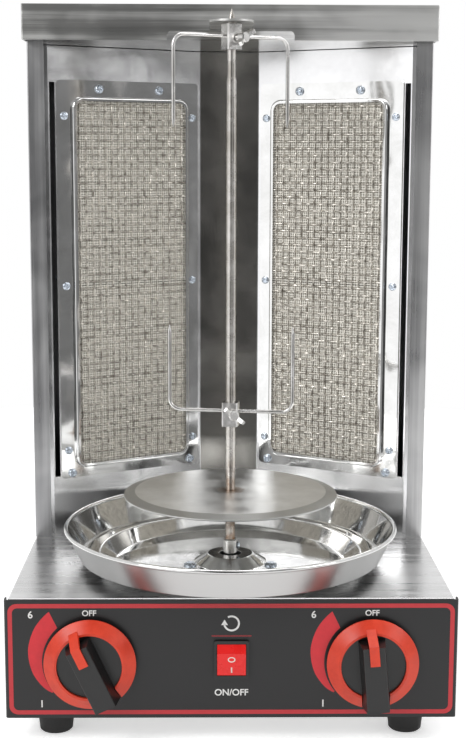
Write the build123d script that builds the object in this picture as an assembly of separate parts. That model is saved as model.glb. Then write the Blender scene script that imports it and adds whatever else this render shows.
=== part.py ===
from build123d import *
import os
from math import cos, radians, sin

# Vertical kebab grill with two upright infrared gas burners and a motor-driven skewer.
# Millimetres. X runs to the right as seen from the front, Y from the control panel
# backwards, Z up from the table. The drawing frame has Y = 0 on the panel's front face;
# write_parts moves everything so that the origin lies under the middle of the whole object.

# Sheet metal and general fits. Cutters run past the faces they cut by cut_past or drill_reach.
sheet = 1.0
liner_sheet = 0.8
panel_sheet = 1.2
roof_sheet = 1.2
running_clearance = 0.05
hole_clearance = 0.15
seat_gap = 0.3
cut_past = 1.0
drill_reach = 5.0

# Base cabinet
base_width = 305.0
base_depth = 275.0
foot_height = 18.0
cabinet_height = 85.0
return_width = 12.0
front_return = 10.0
base_floor_lip = 6.0
foot_inset_x = 29.5
foot_inset_front = 24.0
foot_inset_rear = 27.0
foot_top_radius = 13.0
foot_bottom_radius = 11.5
foot_collar = 3.0
foot_edge = 1.0
foot_bolt_recess = 8.1
floor_slot_length = 60.0
floor_slot_width = 5.0
floor_slot_pitch = 12.0
floor_slot_count = 5

# Control panel
panel_overhang = 2.5
panel_top_gap = 1.0
panel_flange = 7.0
panel_corner_radius = 2.0

# Upper casing
post_front_y = 156.2
post_width = 12.5
casing_height = 388.4
side_flange = 12.0
liner_flange = 14.0
liner_angle = 30.66
wing_margin = 4.5
liner_joint_gap = 0.8
skirt_height = 9.1

# Hood and roof
hood_face_y = 141.3
hood_height = 25.7
hood_drop = 6.7
hood_clearance = 0.7
hood_lip = 5.0
notch_half_width = 47.2
notch_height = 6.9
notch_corner = 4.0

# Turning axis and skewer guide
axis_y = 87.9
guide_width = 31.0
guide_thickness = 1.5
guide_hole_radius = 4.1
guide_length_behind_face = 60.0

# Burners, measured along the wing from its front fold and up from the deck
burner_offset = 2.0
burner_bottom = 45.7
burner_width = 122.9
burner_below_roof = 34.6
burner_corner = 3.0
mesh_side_margin = 13.95
mesh_end_margin = 13.3
mesh_corner = 6.0
mesh_shift = 1.0
mesh_drop = 2.4
mesh_thickness = 1.4
mesh_columns = 7
mesh_rows = 21
mesh_strand = 2.2
rim_width = 3.0
rim_height = 4.5
rim_roundness = 1.3
tile_thickness = 13.0
tile_lap = 1.5
tile_joint = 0.5
burner_box_depth = 40.0
tile_ledge = 5.0
liner_slot_start = 1.0
liner_slot_width = 4.5
liner_slot_end_gap = 2.0
screw_row_inset = 11.3
dome_screw_outward = 26.6
dome_screw_inward = 25.7
venturi_radius = 10.0
venturi_mouth_radius = 14.0
venturi_wall = 1.2
venturi_setback = 26.0
venturi_mouth_below_deck = 24.0
venturi_flare_height = 16.0
venturi_lip = 1.5
venturi_lip_height = 5.0
venturi_entry = 3.0
venturi_deck_gap = 1.5

# Drip pan
pan_sheet = 0.8
pan_rim_radius = 122.1
pan_rim_height = 30.0
pan_roll_radius = 1.6
pan_edge_radius = 110.5
pan_edge_height = 7.6
pan_seam_inset = 2.5
pan_seam_drop = 0.6
pan_ring_radius = 95.9
pan_ring_height = 9.6
pan_floor_radius = 86.0
pan_dome_radius = 26.5
pan_dome_top_radius = 16.7
pan_dome_height = 6.1
pan_hole_radius = 8.1
pan_bend = 1.5
pan_screw_x = 29.5
pan_screw_front = 12.0

# Drive
hub_radius = 5.25
hub_above_deck = 17.7
hub_socket_depth = 14.0
hub_above_bracket = 1.5
hub_chamfer = 0.8
hub_screw_drop = 5.0
shaft_radius = 3.5
shaft_grip = 15.0
motor_radius = 28.0
motor_height = 24.0
gearbox_radius = 30.0
gearbox_height = 11.0
motor_drop = 16.0
bracket_sheet = 1.5
bracket_half_width = 42.0
bracket_length = 62.0
bracket_flange = 20.0
bracket_hole_gap = 3.0
motor_screw_x = 22.0
motor_round = 3.0
gearbox_round = 1.5

# Skewer and disc
skewer_radius = 3.5
skewer_top_radius = 3.0
skewer_step_below_guide = 38.5
skewer_cone_length = 8.5
skewer_tip_above_guide = 8.2
skewer_chamfer = 0.6
skewer_step_length = 0.5
disc_radius = 78.1
disc_flat_radius = 70.0
disc_height = 54.5
disc_bevel_drop = 2.2
disc_sheet = 1.5
disc_edge = 0.9
disc_sleeve_radius = 8.0
disc_sleeve_length = 12.0
disc_pin_radius = 1.25
disc_pin_drop = 9.0
disc_pin_overhang = 1.0

# Meat forks
fork_half_width = 45.0
fork_wire_radius = 1.35
fork_bend = 8.0
fork_point = 5.0
fork_tip_radius = 0.25
lower_fork_height = 113.7
lower_prong_length = 62.3
lower_fork_turn = -9.0
upper_fork_below_guide = 9.2
upper_prong_length = 63.4
upper_fork_turn = 26.0
clamp_width = 11.5
clamp_height = 17.6
clamp_bore_clearance = 0.1
clamp_chamfer = 1.0
lower_clamp_rise = -2.2
upper_clamp_gap = 1.0
wire_socket_depth = 1.5
wing_screw_swing = 19.0
wing_screw_radius = 2.0
wing_screw_drop = 1.5
wing_hub_radius = 3.6
wing_hub_start = 8.5
wing_hub_length = 6.0
wing_span = 9.5
wing_thickness = 2.8
wing_hub_chamfer = 0.6
wing_root_rise = 1.2
wing_sweep = 1.6
wing_flare = 2.4
wing_round = 0.9
upper_wing_tilt = 35.0
lower_wing_tilt = -38.0

# Knobs and gas valves
knob_inset = 58.5
knob_height = 57.0
knob_gap = 4.0
knob_ring_radius = 31.5
knob_ring_inner_radius = 22.2
knob_ring_height = 6.6
knob_ring_edge = 1.0
knob_ring_wall = 1.6
knob_floor_height = 4.5
knob_face_height = 19.0
knob_bar_width = 15.0
knob_bar_foot_width = 19.0
knob_bar_front = 17.5
knob_bar_tail = 29.5
knob_pointer_width = 6.5
knob_pointer_length = 12.0
knob_pointer_sheet = 1.6
knob_pointer_lead = 0.4
knob_pointer_foot = 3.2
knob_bar_slope = 1.5
knob_bar_round = 0.8
knob_bore_past_spindle = 4.0
left_knob_turn = 25.0
right_knob_turn = 5.0
spindle_radius = 4.0
spindle_flat = 3.0
spindle_reach = 12.5
plug_radius = 6.0
plug_length = 19.0
valve_radius = 9.5
valve_length = 36.0
valve_collar_radius = 7.0
valve_collar_length = 9.0
panel_spindle_hole = 5.2

# Gas train
manifold_radius = 7.0
manifold_setback = 22.0
manifold_drop = 22.0
manifold_overhang = 14.0
port_radius = 5.0
pipe_radius = 3.5
inlet_inset = 92.5
branch_radius = 5.0
saddle_width = 14.0
jet_block = 15.0
jet_post = 9.0
jet_radius = 4.0
jet_length = 9.0
jet_gap = 4.0
inlet_tail_radius = 4.75
inlet_tail_length = 25.0
inlet_tail_chamfer = 0.8
inlet_body_length = 14.0
inlet_flange_thickness = 4.0
inlet_body_radius = 6.5
inlet_flange_radius = 9.5
inlet_nut_size = 19.0
inlet_nut_thickness = 4.0

# Rocker switch and cable gland
switch_height = 59.0
switch_bezel_width = 24.0
switch_bezel_height = 27.0
switch_bezel_depth = 2.0
switch_bezel_round = 1.5
switch_body_width = 21.6
switch_body_height = 24.2
switch_body_depth = 18.0
paddle_width = 19.6
paddle_height = 21.4
paddle_proud = 2.4
paddle_ridge_above = 4.6
paddle_tilt = 5.0
paddle_well_clearance = 0.6
paddle_well_depth = 12.0
paddle_pivot_y = 2.0
paddle_pin_radius = 1.2
paddle_pin_reach = 0.6
paddle_rim = 0.6
paddle_heel = 2.0
paddle_side = 3.5
paddle_draft = 1.2
gland_inset = 52.5
gland_height = 45.0
gland_radius = 8.0
gland_neck_radius = 6.0
gland_bore = 3.6
gland_flange = 6.0
gland_nose = 8.0
gland_chamfer = 1.5

# Fasteners
small_screw_radius = 1.5
small_head_radius = 3.0
small_head_height = 1.8
dome_head_radius = 3.4
dome_head_height = 2.6
pan_bolt_radius = 2.0
pan_bolt_head_radius = 4.6
pan_bolt_head_height = 2.2
nut_height = 3.0
bolt_past_nut = 1.5
nut_radius = 4.0
screw_grip = 4.0
hood_screw_front = 20.0
hood_screw_rear = 25.0
rear_screw_margin = 20.0
base_screw_margin = 15.0
guide_screw_front = 18.0
guide_screw_pitch = 30.0

# Vents in the rear walls
vent_length = 70.0
vent_width = 4.0
vent_pitch = 14.0
vent_top_margin = 30.0
top_vent_count = 6
bottom_vent_count = 3

# Heights and depths that follow from the driving sizes
cabinet_bottom = foot_height - sheet
deck_z = cabinet_bottom + cabinet_height
roof_z = deck_z + casing_height
guide_z = roof_z + roof_sheet
hood_bottom = roof_z - hood_drop
hood_top = hood_bottom + hood_height
half_width = base_width / 2
inner_half = half_width - sheet
rear_y = base_depth - sheet
liner_y = post_front_y + sheet
panel_half = half_width + panel_overhang
knob_x = panel_half - knob_inset
branch_x = half_width - inlet_inset
gland_x = gland_inset - half_width
burner_height = casing_height - burner_bottom - burner_below_roof
mesh_width = burner_width - 2 * mesh_side_margin
mesh_height = burner_height - 2 * mesh_end_margin
wing_length = burner_width + 2 * wing_margin
liner_corner_x = inner_half - seat_gap - liner_flange
liner_back_half_width = liner_corner_x - wing_length * cos(radians(liner_angle))
back_y = liner_y + wing_length * sin(radians(liner_angle))
hood_half = half_width + hood_clearance + sheet
hood_rear_y = base_depth + hood_clearance + sheet
inlet_end_y = base_depth + inlet_tail_length
pan_front_y = axis_y - pan_rim_radius
manifold_z = knob_height - manifold_drop
lower_fork_z = deck_z + lower_fork_height
upper_fork_z = guide_z - upper_fork_below_guide

# Middle of the pan's rolled rim
roll_z = deck_z + pan_rim_height - pan_roll_radius
roll_r = pan_rim_radius - pan_roll_radius

# Levels of the motor under the deck
bracket_top = deck_z - motor_drop + bracket_sheet
motor_top = bracket_top - bracket_sheet
hub_top = deck_z + hub_above_deck
hub_bottom = bracket_top + hub_above_bracket
hub_screw_z = hub_top - hub_screw_drop
socket_floor = hub_top - hub_socket_depth
shaft_top = hub_bottom + shaft_grip

os.makedirs("parts", exist_ok=True)


def slab(x0, x1, y0, y1, z0, z1):
    """A box between two corners."""
    size = Box(abs(x1 - x0), abs(y1 - y0), abs(z1 - z0))
    return Pos((x0 + x1) / 2, (y0 + y1) / 2, (z0 + z1) / 2) * size


def rod(start, end, radius):
    """A round bar between two points."""
    a = Vector(*start)
    b = Vector(*end)
    frame = Plane(origin=a, z_dir=b - a)
    return frame * extrude(Circle(radius), (b - a).length)


def turned(points):
    """A solid of revolution about Z from (radius, height) points."""
    outline = make_face(Polyline(*points, close=True))
    return revolve(Plane.XZ * outline, Axis.Z, 360)


def sheet_section(points, thickness, bend, side):
    """A folded strip of sheet: a line of points with round bends, thickened to one side."""
    line = Wire(FilletPolyline(*points, radius=bend).edges())
    return Face(line.offset_2d(thickness, kind=Kind.ARC, side=side, closed=True))


def pan_head_screw(length, radius=small_screw_radius, head=small_head_radius, height=small_head_height):
    """A screw pointing down, with the underside of its head at Z = 0."""
    return turned([
        (0, -length), (radius * 0.7, -length), (radius, -length + radius * 0.6), (radius, 0),
        (head, 0), (head, height * 0.4), (head * 0.6, height), (0, height),
    ])


def placed(shape, point, direction):
    """Turns a shape's +Z to a direction and puts its origin on a point."""
    return Plane(origin=point, z_dir=direction) * shape


def wall_hole(point, direction, radius, depth=drill_reach):
    """A drill through a wall, centred on a point."""
    start = Vector(*point) - Vector(*direction) * depth
    end = Vector(*point) + Vector(*direction) * depth
    return rod(tuple(start), tuple(end), radius)


def mirrored(shape):
    return mirror(shape, about=Plane.YZ)


def solids_of(pieces):
    """One compound of separate solids."""
    return Compound(children=[solid for piece in pieces for solid in piece.solids()])


# Frame of the left wing of the liner: X along the wing, Y up, Z out of its front face
left_wing = Plane(
    origin=(-liner_corner_x, liner_y, 0),
    x_dir=(cos(radians(liner_angle)), sin(radians(liner_angle)), 0),
    z_dir=(sin(radians(liner_angle)), -cos(radians(liner_angle)), 0),
)

# Burner places in the wing's frame
burner_s = wing_length / 2 + burner_offset
burner_v = deck_z + burner_bottom + burner_height / 2
mesh_s = burner_s + mesh_shift
mesh_v = burner_v - mesh_drop
screw_s_outer = (burner_s - burner_width / 2 + mesh_s - mesh_width / 2 - rim_width) / 2
screw_s_inner = (burner_s + burner_width / 2 + mesh_s + mesh_width / 2 + rim_width) / 2
burner_top_v = burner_v + burner_height / 2
burner_low_v = burner_v - burner_height / 2
screw_row_reach = mesh_height / 2 - screw_row_inset
side_screw_rows = [mesh_v - screw_row_reach, mesh_v, mesh_v + screw_row_reach]
top_screw_v = (burner_top_v + mesh_v + mesh_height / 2 + rim_width) / 2
low_screw_v = (burner_low_v + mesh_v - mesh_height / 2 - rim_width) / 2
side_screws = [(s, v) for v in side_screw_rows for s in (screw_s_outer, screw_s_inner)]
dome_screws = [(mesh_s - dome_screw_outward, top_screw_v), (mesh_s + dome_screw_inward, top_screw_v)]
corner_screws = [
    (screw_s_outer + small_head_radius, low_screw_v),
    (screw_s_inner - small_head_radius, low_screw_v),
]
frame_screws = side_screws + dome_screws + corner_screws


def wing_slab(width, height, w0, w1, corner=0.0, s=None, v=None):
    """A rectangular plate in the wing's frame, between two distances from the liner's face."""
    centre_s = mesh_s if s is None else s
    centre_v = mesh_v if v is None else v
    outline = RectangleRounded(width, height, corner) if corner > 0 else Rectangle(width, height)
    return Pos(centre_s, centre_v, w0) * extrude(outline, w1 - w0)


def wing_drills(places, radius, w0, w1):
    return [Pos(s, v, w0) * extrude(Circle(radius), w1 - w0) for s, v in places]


# Venturi axis in plan, in the wing's frame and in the drawing frame
venturi_point = left_wing.from_local_coords((mesh_s, 0, -venturi_setback))
venturi_x = venturi_point.X
venturi_y = venturi_point.Y
venturi_mouth_z = deck_z - venturi_mouth_below_deck

# Screw places of the casing
hood_screw_z = (hood_bottom + roof_z) / 2
hood_screw_y = [liner_y + hood_screw_front, rear_y - hood_screw_rear]
rear_screw_z = [deck_z + rear_screw_margin, (deck_z + roof_z) / 2, roof_z - rear_screw_margin]
rear_screw_x = inner_half - side_flange / 2
base_screw_z = [cabinet_bottom + base_screw_margin, deck_z - base_screw_margin]
base_screw_x = inner_half - front_return / 2
guide_screw_y = [hood_face_y + guide_screw_front, hood_face_y + guide_screw_front + guide_screw_pitch]
pan_screw_y = axis_y - pan_screw_front
feet = [
    (x, y)
    for y in (foot_inset_front, base_depth - foot_inset_rear)
    for x in (-half_width + foot_inset_x, half_width - foot_inset_x)
]


# Base cabinet shell: deck, two sides, and returns round its open ends and bottom
def make_base_shell():
    outside = slab(-half_width, half_width, panel_sheet, rear_y, cabinet_bottom, deck_z)
    long_edges = outside.edges().filter_by(Axis.Y).sort_by(Axis.Z)[-2:]
    shell = fillet(long_edges, sheet * 2)
    hollow = slab(-inner_half, inner_half, panel_sheet + sheet, rear_y - sheet, foot_height, deck_z - sheet)
    hollow = fillet(hollow.edges().filter_by(Axis.Y).sort_by(Axis.Z)[-2:], sheet)
    window = inner_half - front_return
    ends = slab(-window, window, 0, base_depth, foot_height, deck_z - sheet - front_return)
    bottom_half = half_width - return_width
    bottom = slab(-bottom_half, bottom_half, 0, base_depth, 0, foot_height)
    shell = shell - hollow - ends - bottom
    shell -= wall_hole((0, axis_y, deck_z), (0, 0, 1), pan_hole_radius)
    for x in (-pan_screw_x, pan_screw_x):
        shell -= wall_hole((x, pan_screw_y, deck_z), (0, 0, 1), pan_bolt_radius + hole_clearance)
    for x in (venturi_x, -venturi_x):
        shell -= wall_hole((x, venturi_y, deck_z), (0, 0, 1), venturi_mouth_radius + venturi_deck_gap)
    for x in (-base_screw_x, base_screw_x):
        for z in base_screw_z:
            shell -= wall_hole((x, rear_y, z), (0, 1, 0), small_screw_radius + hole_clearance)
    return shell


# Base floor: a tray that rests on the shell's returns and carries the feet
def make_base_floor():
    half = inner_half - seat_gap
    front = panel_sheet + sheet + seat_gap
    rear = rear_y - sheet - seat_gap
    floor = slab(-half, half, front, rear, foot_height, foot_height + sheet)
    floor += slab(-half, half, front, front + sheet, foot_height, foot_height + base_floor_lip)
    floor += slab(-half, half, rear - sheet, rear, foot_height, foot_height + base_floor_lip)
    for x, y in feet:
        floor -= wall_hole((x, y, foot_height), (0, 0, 1), pan_bolt_radius + hole_clearance)
    slots = GridLocations(floor_slot_pitch, 0, floor_slot_count, 1)
    for x in (venturi_x, -venturi_x):
        slot_row = Sketch() + slots * SlotOverall(floor_slot_length, floor_slot_width, rotation=90)
        place = Pos(x, venturi_y - floor_slot_length, foot_height - cut_past)
        floor -= place * extrude(slot_row, drill_reach)
    return floor


# Rubber foot with a recessed hole for its bolt
def make_foot():
    recess = pan_bolt_head_radius + hole_clearance * 2
    bore = pan_bolt_radius + hole_clearance
    return turned([
        (recess, 0), (foot_bottom_radius - foot_edge, 0), (foot_bottom_radius, foot_edge),
        (foot_top_radius, foot_height - foot_collar), (foot_top_radius, foot_height),
        (bore, foot_height), (bore, foot_bolt_recess), (recess, foot_bolt_recess),
    ])


def make_rubber_feet():
    return solids_of([Pos(x, y, 0) * make_foot() for x, y in feet])


def hex_nut(radius, bore, height):
    return extrude(RegularPolygon(radius, 6) - Circle(bore), height)


# Foot bolts, heads down inside the rubber, with nuts on the tray
def make_foot_bolts():
    top = foot_height + sheet
    length = top + nut_height + bolt_past_nut - foot_bolt_recess
    pieces = []
    for x, y in feet:
        bolt = pan_head_screw(length, pan_bolt_radius, pan_bolt_head_radius, pan_bolt_head_height)
        pieces.append(Pos(x, y, foot_bolt_recess) * Rot(180, 0, 0) * bolt)
        pieces.append(Pos(x, y, top) * hex_nut(nut_radius, pan_bolt_radius + running_clearance, nut_height))
    return solids_of(pieces)


# Control panel: a shallow tray whose side edges wrap round the cabinet
def make_control_panel():
    top = deck_z - panel_top_gap
    panel = slab(-panel_half, panel_half, 0, panel_flange, cabinet_bottom, top)
    panel = fillet(panel.edges().filter_by(Axis.Z).group_by(Axis.Y)[0], panel_corner_radius)
    inside = panel_half - panel_sheet
    panel -= slab(
        -inside, inside, panel_sheet, panel_flange + cut_past, cabinet_bottom - cut_past, top + cut_past)
    for x in (-knob_x, knob_x):
        panel -= wall_hole((x, 0, knob_height), (0, 1, 0), panel_spindle_hole)
    cut_w = switch_body_width / 2 + hole_clearance
    cut_h = switch_body_height / 2 + hole_clearance
    panel -= slab(-cut_w, cut_w, -cut_past, drill_reach, switch_height - cut_h, switch_height + cut_h)
    return panel


def vent_slots(rows, length, y, z_low):
    """Rows of horizontal slots through a rear wall."""
    grid = GridLocations(0, vent_pitch, 1, rows)
    cutter = extrude(Sketch() + grid * SlotOverall(length, vent_width), drill_reach, both=True)
    z_mid = z_low + (rows - 1) * vent_pitch / 2
    return Plane(origin=(0, y, z_mid), x_dir=(1, 0, 0), z_dir=(0, -1, 0)) * cutter


# Rear wall of the base, with vents and the holes for the gas inlet and the cable gland
def make_base_rear():
    wall = slab(-half_width, half_width, rear_y, base_depth, cabinet_bottom, deck_z)
    wall -= vent_slots(bottom_vent_count, vent_length, rear_y, cabinet_bottom + cabinet_height / 3)
    wall -= wall_hole((branch_x, rear_y, manifold_z), (0, 1, 0), inlet_body_radius + hole_clearance)
    wall -= wall_hole((gland_x, rear_y, gland_height), (0, 1, 0), gland_neck_radius + hole_clearance)
    for x in (-base_screw_x, base_screw_x):
        for z in base_screw_z:
            wall -= wall_hole((x, rear_y, z), (0, 1, 0), small_screw_radius + hole_clearance)
    return wall


# Upright side panel: front post face, outer wall, and rear, top and bottom flanges
def make_side_panel():
    wall = slab(-half_width, -inner_half, post_front_y, rear_y, deck_z, roof_z)
    post = slab(-half_width, -half_width + post_width, post_front_y, liner_y, deck_z, roof_z)
    rear = slab(-half_width, -inner_half + side_flange, rear_y - sheet, rear_y, deck_z, roof_z)
    flange_front = liner_y + liner_sheet + seat_gap
    top = slab(-half_width, -inner_half + side_flange, flange_front, rear_y, roof_z - sheet, roof_z)
    foot = slab(-half_width, -inner_half + side_flange, flange_front, rear_y, deck_z, deck_z + sheet)
    panel = wall + post + rear + top + foot
    corners = panel.edges().filter_by(Axis.Z).filter_by(lambda edge: edge.length > casing_height / 2)
    outer_corners = [edge for edge in corners if edge.center().X < -half_width + sheet / 2]
    panel = fillet(outer_corners, sheet * 0.9)
    for z in rear_screw_z:
        panel -= wall_hole((-rear_screw_x, rear_y, z), (0, 1, 0), small_screw_radius + hole_clearance)
    for y in hood_screw_y:
        panel -= wall_hole((-half_width, y, hood_screw_z), (1, 0, 0), small_screw_radius + hole_clearance)
    return panel


# Folded section shared by the liner and the skirt above it
def liner_section():
    outer = inner_half - seat_gap
    points = [
        (-outer, liner_y), (-liner_corner_x, liner_y), (-liner_back_half_width, back_y),
        (liner_back_half_width, back_y), (liner_corner_x, liner_y), (outer, liner_y),
    ]
    return sheet_section(points, liner_sheet, liner_sheet, Side.LEFT)


# Inner liner: two angled wings with the burner cut-outs, and the narrow back panel
def make_inner_liner():
    height = casing_height - skirt_height - liner_joint_gap
    liner = Pos(0, 0, deck_z) * extrude(liner_section(), height)
    slot_s = liner_slot_start + liner_slot_width / 2
    opening = wing_slab(
        mesh_width + 2 * rim_width, mesh_height + 2 * rim_width, -drill_reach, drill_reach)
    slot_length = burner_height - 2 * liner_slot_end_gap
    slot = wing_slab(liner_slot_width, slot_length, -drill_reach, drill_reach, s=slot_s, v=burner_v)
    drills = wing_drills(frame_screws, small_screw_radius + hole_clearance, -drill_reach, drill_reach)
    for cutter in [opening, slot] + drills:
        placed_cutter = left_wing * cutter
        liner -= placed_cutter
        liner -= mirrored(placed_cutter)
    return liner


# Skirt: the short band of the same section under the roof
def make_liner_skirt():
    return Pos(0, 0, roof_z - skirt_height) * extrude(liner_section(), skirt_height)


# Roof plate, resting on the side panels under the hood
def make_roof_plate():
    half = half_width
    plate = slab(-half, half, hood_face_y + sheet + seat_gap, rear_y, roof_z, guide_z)
    for y in guide_screw_y:
        plate -= wall_hole((0, y, roof_z), (0, 0, 1), small_screw_radius + hole_clearance)
    return plate


# Skewer guide: a tongue with a round end and a hole on the turning axis
def make_skewer_guide():
    half = guide_width / 2
    rear = hood_face_y + guide_length_behind_face
    strip = Pos(0, (axis_y + rear) / 2) * Rectangle(guide_width, rear - axis_y)
    outline = strip + Pos(0, axis_y) * Circle(half) - Pos(0, axis_y) * Circle(guide_hole_radius)
    for y in guide_screw_y:
        outline -= Pos(0, y) * Circle(small_screw_radius + hole_clearance)
    return Pos(0, 0, guide_z) * extrude(outline, guide_thickness)


# Hood: a shallow cap with a notched front, a folded lip and screwed sides
def make_hood():
    outside = slab(-hood_half, hood_half, hood_face_y, hood_rear_y, hood_bottom, hood_top)
    outside = fillet(outside.edges().filter_by(Axis.Z), sheet)
    inside = hood_half - sheet
    back = hood_rear_y - sheet
    hood = outside - slab(
        -inside, inside, hood_face_y + sheet, back, hood_bottom - cut_past, hood_top - sheet)
    lip_back = hood_face_y + hood_lip
    hood += slab(-inside, inside, hood_face_y + sheet / 2, lip_back, hood_bottom, hood_bottom + sheet)
    notch = Rectangle(2 * notch_half_width, 2 * notch_height)
    notch = fillet(notch.vertices(), notch_corner)
    cutter = Plane.XZ * extrude(notch, hood_lip + cut_past, both=True)
    hood -= Pos(0, hood_face_y, hood_bottom) * cutter
    tongue_half = guide_width / 2 + hole_clearance
    hood -= slab(
        -tongue_half, tongue_half, hood_face_y - cut_past, lip_back,
        hood_bottom, guide_z + guide_thickness + hole_clearance,
    )
    window_top = hood_top - hood_height / 2
    hood -= slab(
        -inside, inside, back - cut_past, hood_rear_y + cut_past, hood_bottom - cut_past, window_top)
    for y in hood_screw_y:
        for side in (-1, 1):
            place = (side * hood_half, y, hood_screw_z)
            hood -= wall_hole(place, (1, 0, 0), small_screw_radius + hole_clearance)
    return hood


# Rear cover of the casing, with vents high up
def make_rear_cover():
    half = half_width - sheet
    cover = slab(-half, half, rear_y, base_depth, deck_z + seat_gap, roof_z)
    lowest = roof_z - vent_top_margin - (top_vent_count - 1) * vent_pitch
    top_rows = vent_slots(top_vent_count, vent_length, rear_y, lowest)
    cover -= Pos(-vent_length * 0.75, 0, 0) * top_rows
    cover -= Pos(vent_length * 0.75, 0, 0) * top_rows
    for x in (-rear_screw_x, rear_screw_x):
        for z in rear_screw_z:
            cover -= wall_hole((x, rear_y, z), (0, 1, 0), small_screw_radius + hole_clearance)
    return cover


# Burner frame: a flat plate with a raised, rounded bead round the mesh opening
def make_burner_frame():
    bead_width = mesh_width + 2 * rim_width
    bead_height = mesh_height + 2 * rim_width
    bead = wing_slab(bead_width, bead_height, 0, rim_height, mesh_corner + rim_width)
    bead = fillet(bead.faces().sort_by(Axis.Z)[-1].edges(), rim_roundness)
    plate = wing_slab(burner_width, burner_height, 0, sheet, burner_corner, burner_s, burner_v)
    pocket_grow = 2 * (rim_width - sheet)
    pocket_corner = mesh_corner + rim_width - sheet
    pocket = wing_slab(
        mesh_width + pocket_grow, mesh_height + pocket_grow, -cut_past, rim_height - sheet, pocket_corner)
    opening = wing_slab(mesh_width, mesh_height, -cut_past, rim_height + cut_past, mesh_corner)
    frame = plate + bead - pocket - opening
    for drill in wing_drills(frame_screws, small_screw_radius + hole_clearance, -cut_past, drill_reach):
        frame -= drill
    return left_wing * frame


# Burner mesh: a flat net clamped under the bead, in front of the tiles
def make_burner_mesh():
    border = 2 * (tile_lap - hole_clearance)
    net = RectangleRounded(mesh_width + border, mesh_height + border, mesh_corner)
    pitch_s = (mesh_width - mesh_strand) / mesh_columns
    pitch_v = (mesh_height - mesh_strand) / mesh_rows
    holes = GridLocations(pitch_s, pitch_v, mesh_columns, mesh_rows)
    net -= holes * Rectangle(pitch_s - mesh_strand, pitch_v - mesh_strand)
    front = rim_height - sheet - seat_gap
    return left_wing * (Pos(mesh_s, mesh_v, front - mesh_thickness) * extrude(net, mesh_thickness))


# Two ceramic tiles, one above the other, behind the mesh
def make_burner_tiles():
    front = rim_height - sheet - seat_gap - mesh_thickness
    width = mesh_width + 2 * tile_lap
    height = mesh_height + 2 * tile_lap
    stack = wing_slab(width, height, front - tile_thickness, front, mesh_corner + tile_lap)
    joint = wing_slab(
        width + cut_past, tile_joint, front - tile_thickness - cut_past, front + cut_past)
    return left_wing * solids_of([stack - joint])


# Burner box: a stepped sheet pan that holds the tiles and spreads the gas behind them
def make_burner_box():
    tile_back = rim_height - sheet - seat_gap - mesh_thickness - tile_thickness
    flange_front = -liner_sheet
    room = 2 * (tile_lap + seat_gap)
    wide = mesh_width + room
    tall = mesh_height + room
    box = wing_slab(wide + 2 * sheet, tall + 2 * sheet, tile_back - sheet, flange_front)
    box += wing_slab(
        burner_width, burner_height, flange_front - sheet, flange_front, burner_corner, burner_s, burner_v)
    throat_wide = wide - 2 * tile_ledge
    throat_tall = tall - 2 * tile_ledge
    box += wing_slab(throat_wide + 2 * sheet, throat_tall + 2 * sheet, -burner_box_depth, tile_back)
    box -= wing_slab(wide, tall, tile_back, cut_past)
    box -= wing_slab(throat_wide, throat_tall, sheet - burner_box_depth, cut_past)
    for drill in wing_drills(frame_screws, small_screw_radius + hole_clearance, -drill_reach, cut_past):
        box -= drill
    box = left_wing * box
    bottom = (venturi_x, venturi_y, mesh_v - tall / 2)
    return box - wall_hole(bottom, (0, 0, 1), venturi_radius + running_clearance, 2 * tile_ledge)


# Venturi tube: straight throat up into the burner box, flared mouth over the jet
def make_venturi_tube():
    top = mesh_v - mesh_height / 2 - tile_lap - seat_gap + tile_ledge + venturi_entry
    mouth = venturi_mouth_z
    throat = mouth + venturi_flare_height
    bore = venturi_radius - venturi_wall
    lip_radius = venturi_mouth_radius - venturi_lip
    lip_top = mouth + venturi_lip_height
    tube = turned([
        (venturi_radius, top), (venturi_radius, throat), (lip_radius, lip_top),
        (venturi_mouth_radius, mouth), (venturi_mouth_radius - venturi_wall, mouth),
        (lip_radius - venturi_wall, lip_top), (bore, throat), (bore, top),
    ])
    return Pos(venturi_x, venturi_y, 0) * tube


# Screws of the two burners
def make_burner_screws():
    flat = pan_head_screw(screw_grip)
    domed = pan_head_screw(screw_grip, small_screw_radius, dome_head_radius, dome_head_height)
    left = [left_wing * (Pos(s, v, sheet) * flat) for s, v in side_screws]
    left += [left_wing * (Pos(s, v, sheet) * domed) for s, v in dome_screws + corner_screws]
    return solids_of(left + [mirrored(piece) for piece in left])


# Screws that hold the hood, the rear walls, the guide and the motor
def make_case_screws():
    screw = pan_head_screw(screw_grip)
    pieces = []
    for side in (-1, 1):
        for y in hood_screw_y:
            pieces.append(placed(screw, (side * hood_half, y, hood_screw_z), (side, 0, 0)))
        for z in rear_screw_z:
            pieces.append(placed(screw, (side * rear_screw_x, base_depth, z), (0, 1, 0)))
        for z in base_screw_z:
            pieces.append(placed(screw, (side * base_screw_x, base_depth, z), (0, 1, 0)))
        pieces.append(Pos(side * motor_screw_x, axis_y, bracket_top) * screw)
    for y in guide_screw_y:
        pieces.append(Pos(0, y, guide_z + guide_thickness) * screw)
    return solids_of(pieces)


# Drip pan: four pressed rings, seam-welded to each other. A central dome stands in a flat
# floor, the drip ring is raised round it, and the wall is a spun cone with a rolled rim.
def pan_section():
    z = deck_z
    line = [
        (pan_hole_radius, z + pan_dome_height), (pan_dome_top_radius, z + pan_dome_height),
        (pan_dome_radius, z), (pan_floor_radius, z), (pan_ring_radius, z + pan_ring_height),
        (pan_edge_radius - pan_seam_inset, z + pan_edge_height - pan_seam_drop),
        (pan_edge_radius, z + pan_edge_height), (roll_r, roll_z),
    ]
    return sheet_section(line, pan_sheet, pan_bend, Side.LEFT)


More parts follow.
